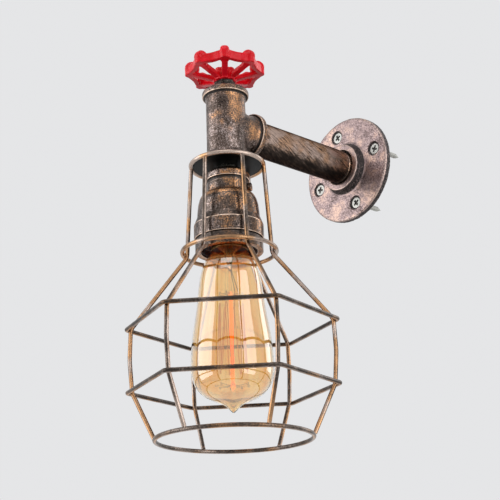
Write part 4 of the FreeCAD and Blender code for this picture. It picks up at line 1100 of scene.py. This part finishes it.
def glass_mount():
    """Flare and rod of the glass mount, pinched flat between them."""
    outline = [(10.9, GLASS_NECK_TOP), (11.75, GLASS_NECK_TOP), (10.1, -95.2, 1.0), (5.2, -98.6, 1.5),
               (3.9, -104.5, 1.5), (1.9, -110.5, 1.5), (ROD_R, -113.5, 0.8)]
    outline += button(BUTTON_TOP) + button(BUTTON_LOW) + [(ROD_R, ROD_END, 0.5), (0, ROD_END)]
    outline += [(0, -104.5), (3.1, -103.5, 0.5), (4.4, -98.9, 1.2), (9.4, -95.5, 1.0)]
    mesh = lathe("bulb_stem", outline, 0.3, 64)
    axis_y = LAMP_AXIS.y * MM
    for v in mesh.vertices:
        z = v.co.z / MM
        fade_in = min(1.0, max(0.0, (PINCH_TOP - z) / (PINCH_TOP - PINCH_FULL)))
        fade_out = min(1.0, max(0.0, (z - PINCH_END) / 2.5))
        v.co.y = axis_y + (v.co.y - axis_y) * (1 - PINCH_SHARE * fade_in * fade_out)
    mesh.update()
    return mesh


add_piece("bulb_stem", glass_mount(), "mount_glass", "bulb", smooth_angle=60)

FILAMENT_R, FILAMENT_BEND, LEGS, OPENING, TOP_R, LOW_R = 0.28, 0.5, 8, 20.0, 8.4, 11.6
HOOK_R, LEAD_R, EYE_R, EYE_STEPS, MOUNT_MIDDLE = 0.24, 0.3, 0.75, 10, -150.0


def filament_corners():
    """Turns of the filament, up and down between the hooks of the two buttons."""
    step = (360 - OPENING) / LEGS
    corners = [around(TOP_R, 0, BUTTON_TOP)]
    for i in range(LEGS):
        corners.append(around(LOW_R, step * (i + 0.5), BUTTON_LOW))
        corners.append(around(TOP_R, step * (i + 1), BUTTON_TOP))
    return corners


def outward(corner):
    """Level direction from the lamp axis to a point."""
    return Vector((corner.x, corner.y + ARM_REACH, 0)).normalized()


def hook(corner):
    """Thin wire from the glass button out to the filament, with a small eye round it."""
    out = outward(corner)
    start = around(0, 0, corner.z) + out * (ROD_R + 0.8)
    side = 1 if corner.z > MOUNT_MIDDLE else -1
    points = [start, start + out * 2.0 + Vector((0, 0, 0.5 * side))]
    for k in range(EYE_STEPS + 1):
        a = math.radians(200 - 300 * k / EYE_STEPS)
        points.append(corner + out * (EYE_R * math.cos(a)) + Vector((0, 0, side * EYE_R * math.sin(a))))
    return points


def lead_path(corner, side):
    """Wire from the mount's flare to an end of the filament."""
    return [around(side * 3.4, 0, -94.2), around(side * 3.0, 0, -104.0), around(side * 1.6, 0, -110.5),
            around(0, 0, -115.6) + outward(corner) * 2.2, corner]


corners = filament_corners()
filament_line = bent(corners, [FILAMENT_BEND] * (len(corners) - 2), steps=5)
hooks = [hook(c) for c in corners[1:-1]]
leads = [lead_path(corners[0], 1), lead_path(corners[-1], -1)]
for name, paths, radius, slot in (("filament", [filament_line], FILAMENT_R, "filament"),
                                  ("filament_supports", hooks, HOOK_R, "screw_zinc"),
                                  ("filament_leads", leads, LEAD_R, "screw_zinc")):
    add_piece(name, wire(path_mesh(*paths), radius, slot, sides=8), slot, "bulb", smooth_angle=180)

# ---- CAD nodes that keep their shape

for name, slot in (("centre_contact", "contact_brass"), ("terminal_screws", "contact_brass"),
                   ("lead_wires", "wire_sleeve"), ("connector_block", "connector_cream"),
                   ("connector_clamps", "contact_brass")):
    data = nodes[name].data
    data.materials.clear()
    data.materials.append(FINISH[slot])

# ---- camera, light and floor

CAMERA_PLACE = Vector((590.7, -649.8, -367.5))
CAMERA_FORWARD = Vector((-0.7014, 0.6341, 0.3256))
CAMERA_UP = Vector((0.2634, -0.1938, 0.945))
LENS, SENSOR = 81.7, 36.0


def facing(forward, up):
    """Turn that looks along forward with up at the top."""
    back = -forward.normalized()
    right = up.cross(back).normalized()
    return Matrix((right, back.cross(right), back)).transposed().to_4x4()


camera_data = bpy.data.cameras.new("camera")
camera_data.lens, camera_data.sensor_width = LENS, SENSOR
camera_data.clip_start, camera_data.clip_end = 0.01, 50
camera = link(bpy.data.objects.new("camera", camera_data))
camera.matrix_world = Matrix.Translation(CAMERA_PLACE * MM) @ facing(CAMERA_FORWARD, CAMERA_UP)
bpy.context.scene.camera = camera

SUBJECT = Vector((0, -0.120, -0.09))


def softbox(name, azimuth, height, distance, width, tall, power):
    """Soft panel that faces the light, azimuth in degrees round it and height in metres above it."""
    a = math.radians(azimuth)
    place = SUBJECT + Vector((math.cos(a) * distance, math.sin(a) * distance, height))
    lamp = bpy.data.lights.new(name, "AREA")
    lamp.shape, lamp.size, lamp.size_y = "RECTANGLE", width, tall
    lamp.energy = power
    panel = link(bpy.data.objects.new(name, lamp))
    panel.visible_transmission = False
    panel.matrix_world = Matrix.Translation(place) @ facing(SUBJECT - place, Vector((0, 0, 1)))


softbox("panel_left", -124, 0.10, 1.0, 0.95, 1.3, 8.0)
softbox("panel_right", 6, 0.05, 1.0, 0.75, 1.3, 5.5)
softbox("panel_top", -60, 1.1, 0.7, 0.8, 0.8, 3.0)
softbox("panel_rear", 78, 0.4, 1.2, 0.5, 1.0, 3.0)

FLOOR_Z, FLOOR_HALF, PALE, FLOOR_GREY, FLOOR_LIFT, FILL = -1300.0, 60000.0, 0.80, 0.55, 0.62, 0.30


def pale_to_the_eye(tree):
    """1 for rays from the camera, from gloss and through glass, which see the pale background."""
    found = tree.add("ShaderNodeLightPath", output="Is Camera Ray")
    for title in ("Is Glossy Ray", "Is Transmission Ray"):
        found = tree.math("MAXIMUM", found, tree.add("ShaderNodeLightPath", output=title))
    return found


floor_finish = Finish("floor", emission_strength=FLOOR_LIFT, roughness=0.7, specular_ior_level=0.0)
lit = floor_finish.mix(pale_to_the_eye(floor_finish), rgb(0, 0, 0), rgb(1, 1, 1))
floor_finish.paint(base_color=rgb(FLOOR_GREY, FLOOR_GREY, FLOOR_GREY), emission_color=lit)
floor_corners = [(x * FLOOR_HALF, y * FLOOR_HALF, FLOOR_Z) for x, y in ((-1, -1), (1, -1), (1, 1), (-1, 1))]
floor_mesh = mesh_of("floor", floor_corners, [(0, 1, 2, 3)])
floor_mesh.materials.append(FINISH["floor"])
floor = link(bpy.data.objects.new("floor", floor_mesh))

world = bpy.data.worlds.new("studio")
world.use_nodes = True
bpy.context.scene.world = world
studio = NodeTree(world.node_tree)
studio.tree.nodes.clear()
seen = studio.add("ShaderNodeBackground", {"Color": rgb(0.98, 0.985, 1.0), "Strength": PALE})
fill = studio.add("ShaderNodeBackground", {"Color": rgb(0.95, 0.97, 1.0), "Strength": FILL})
mixed = studio.add("ShaderNodeMixShader", {0: pale_to_the_eye(studio), 1: fill, 2: seen})
studio.put(studio.tree.nodes.new("ShaderNodeOutputWorld"), {"Surface": mixed})
bpy.context.scene.view_settings.view_transform = "Standard"
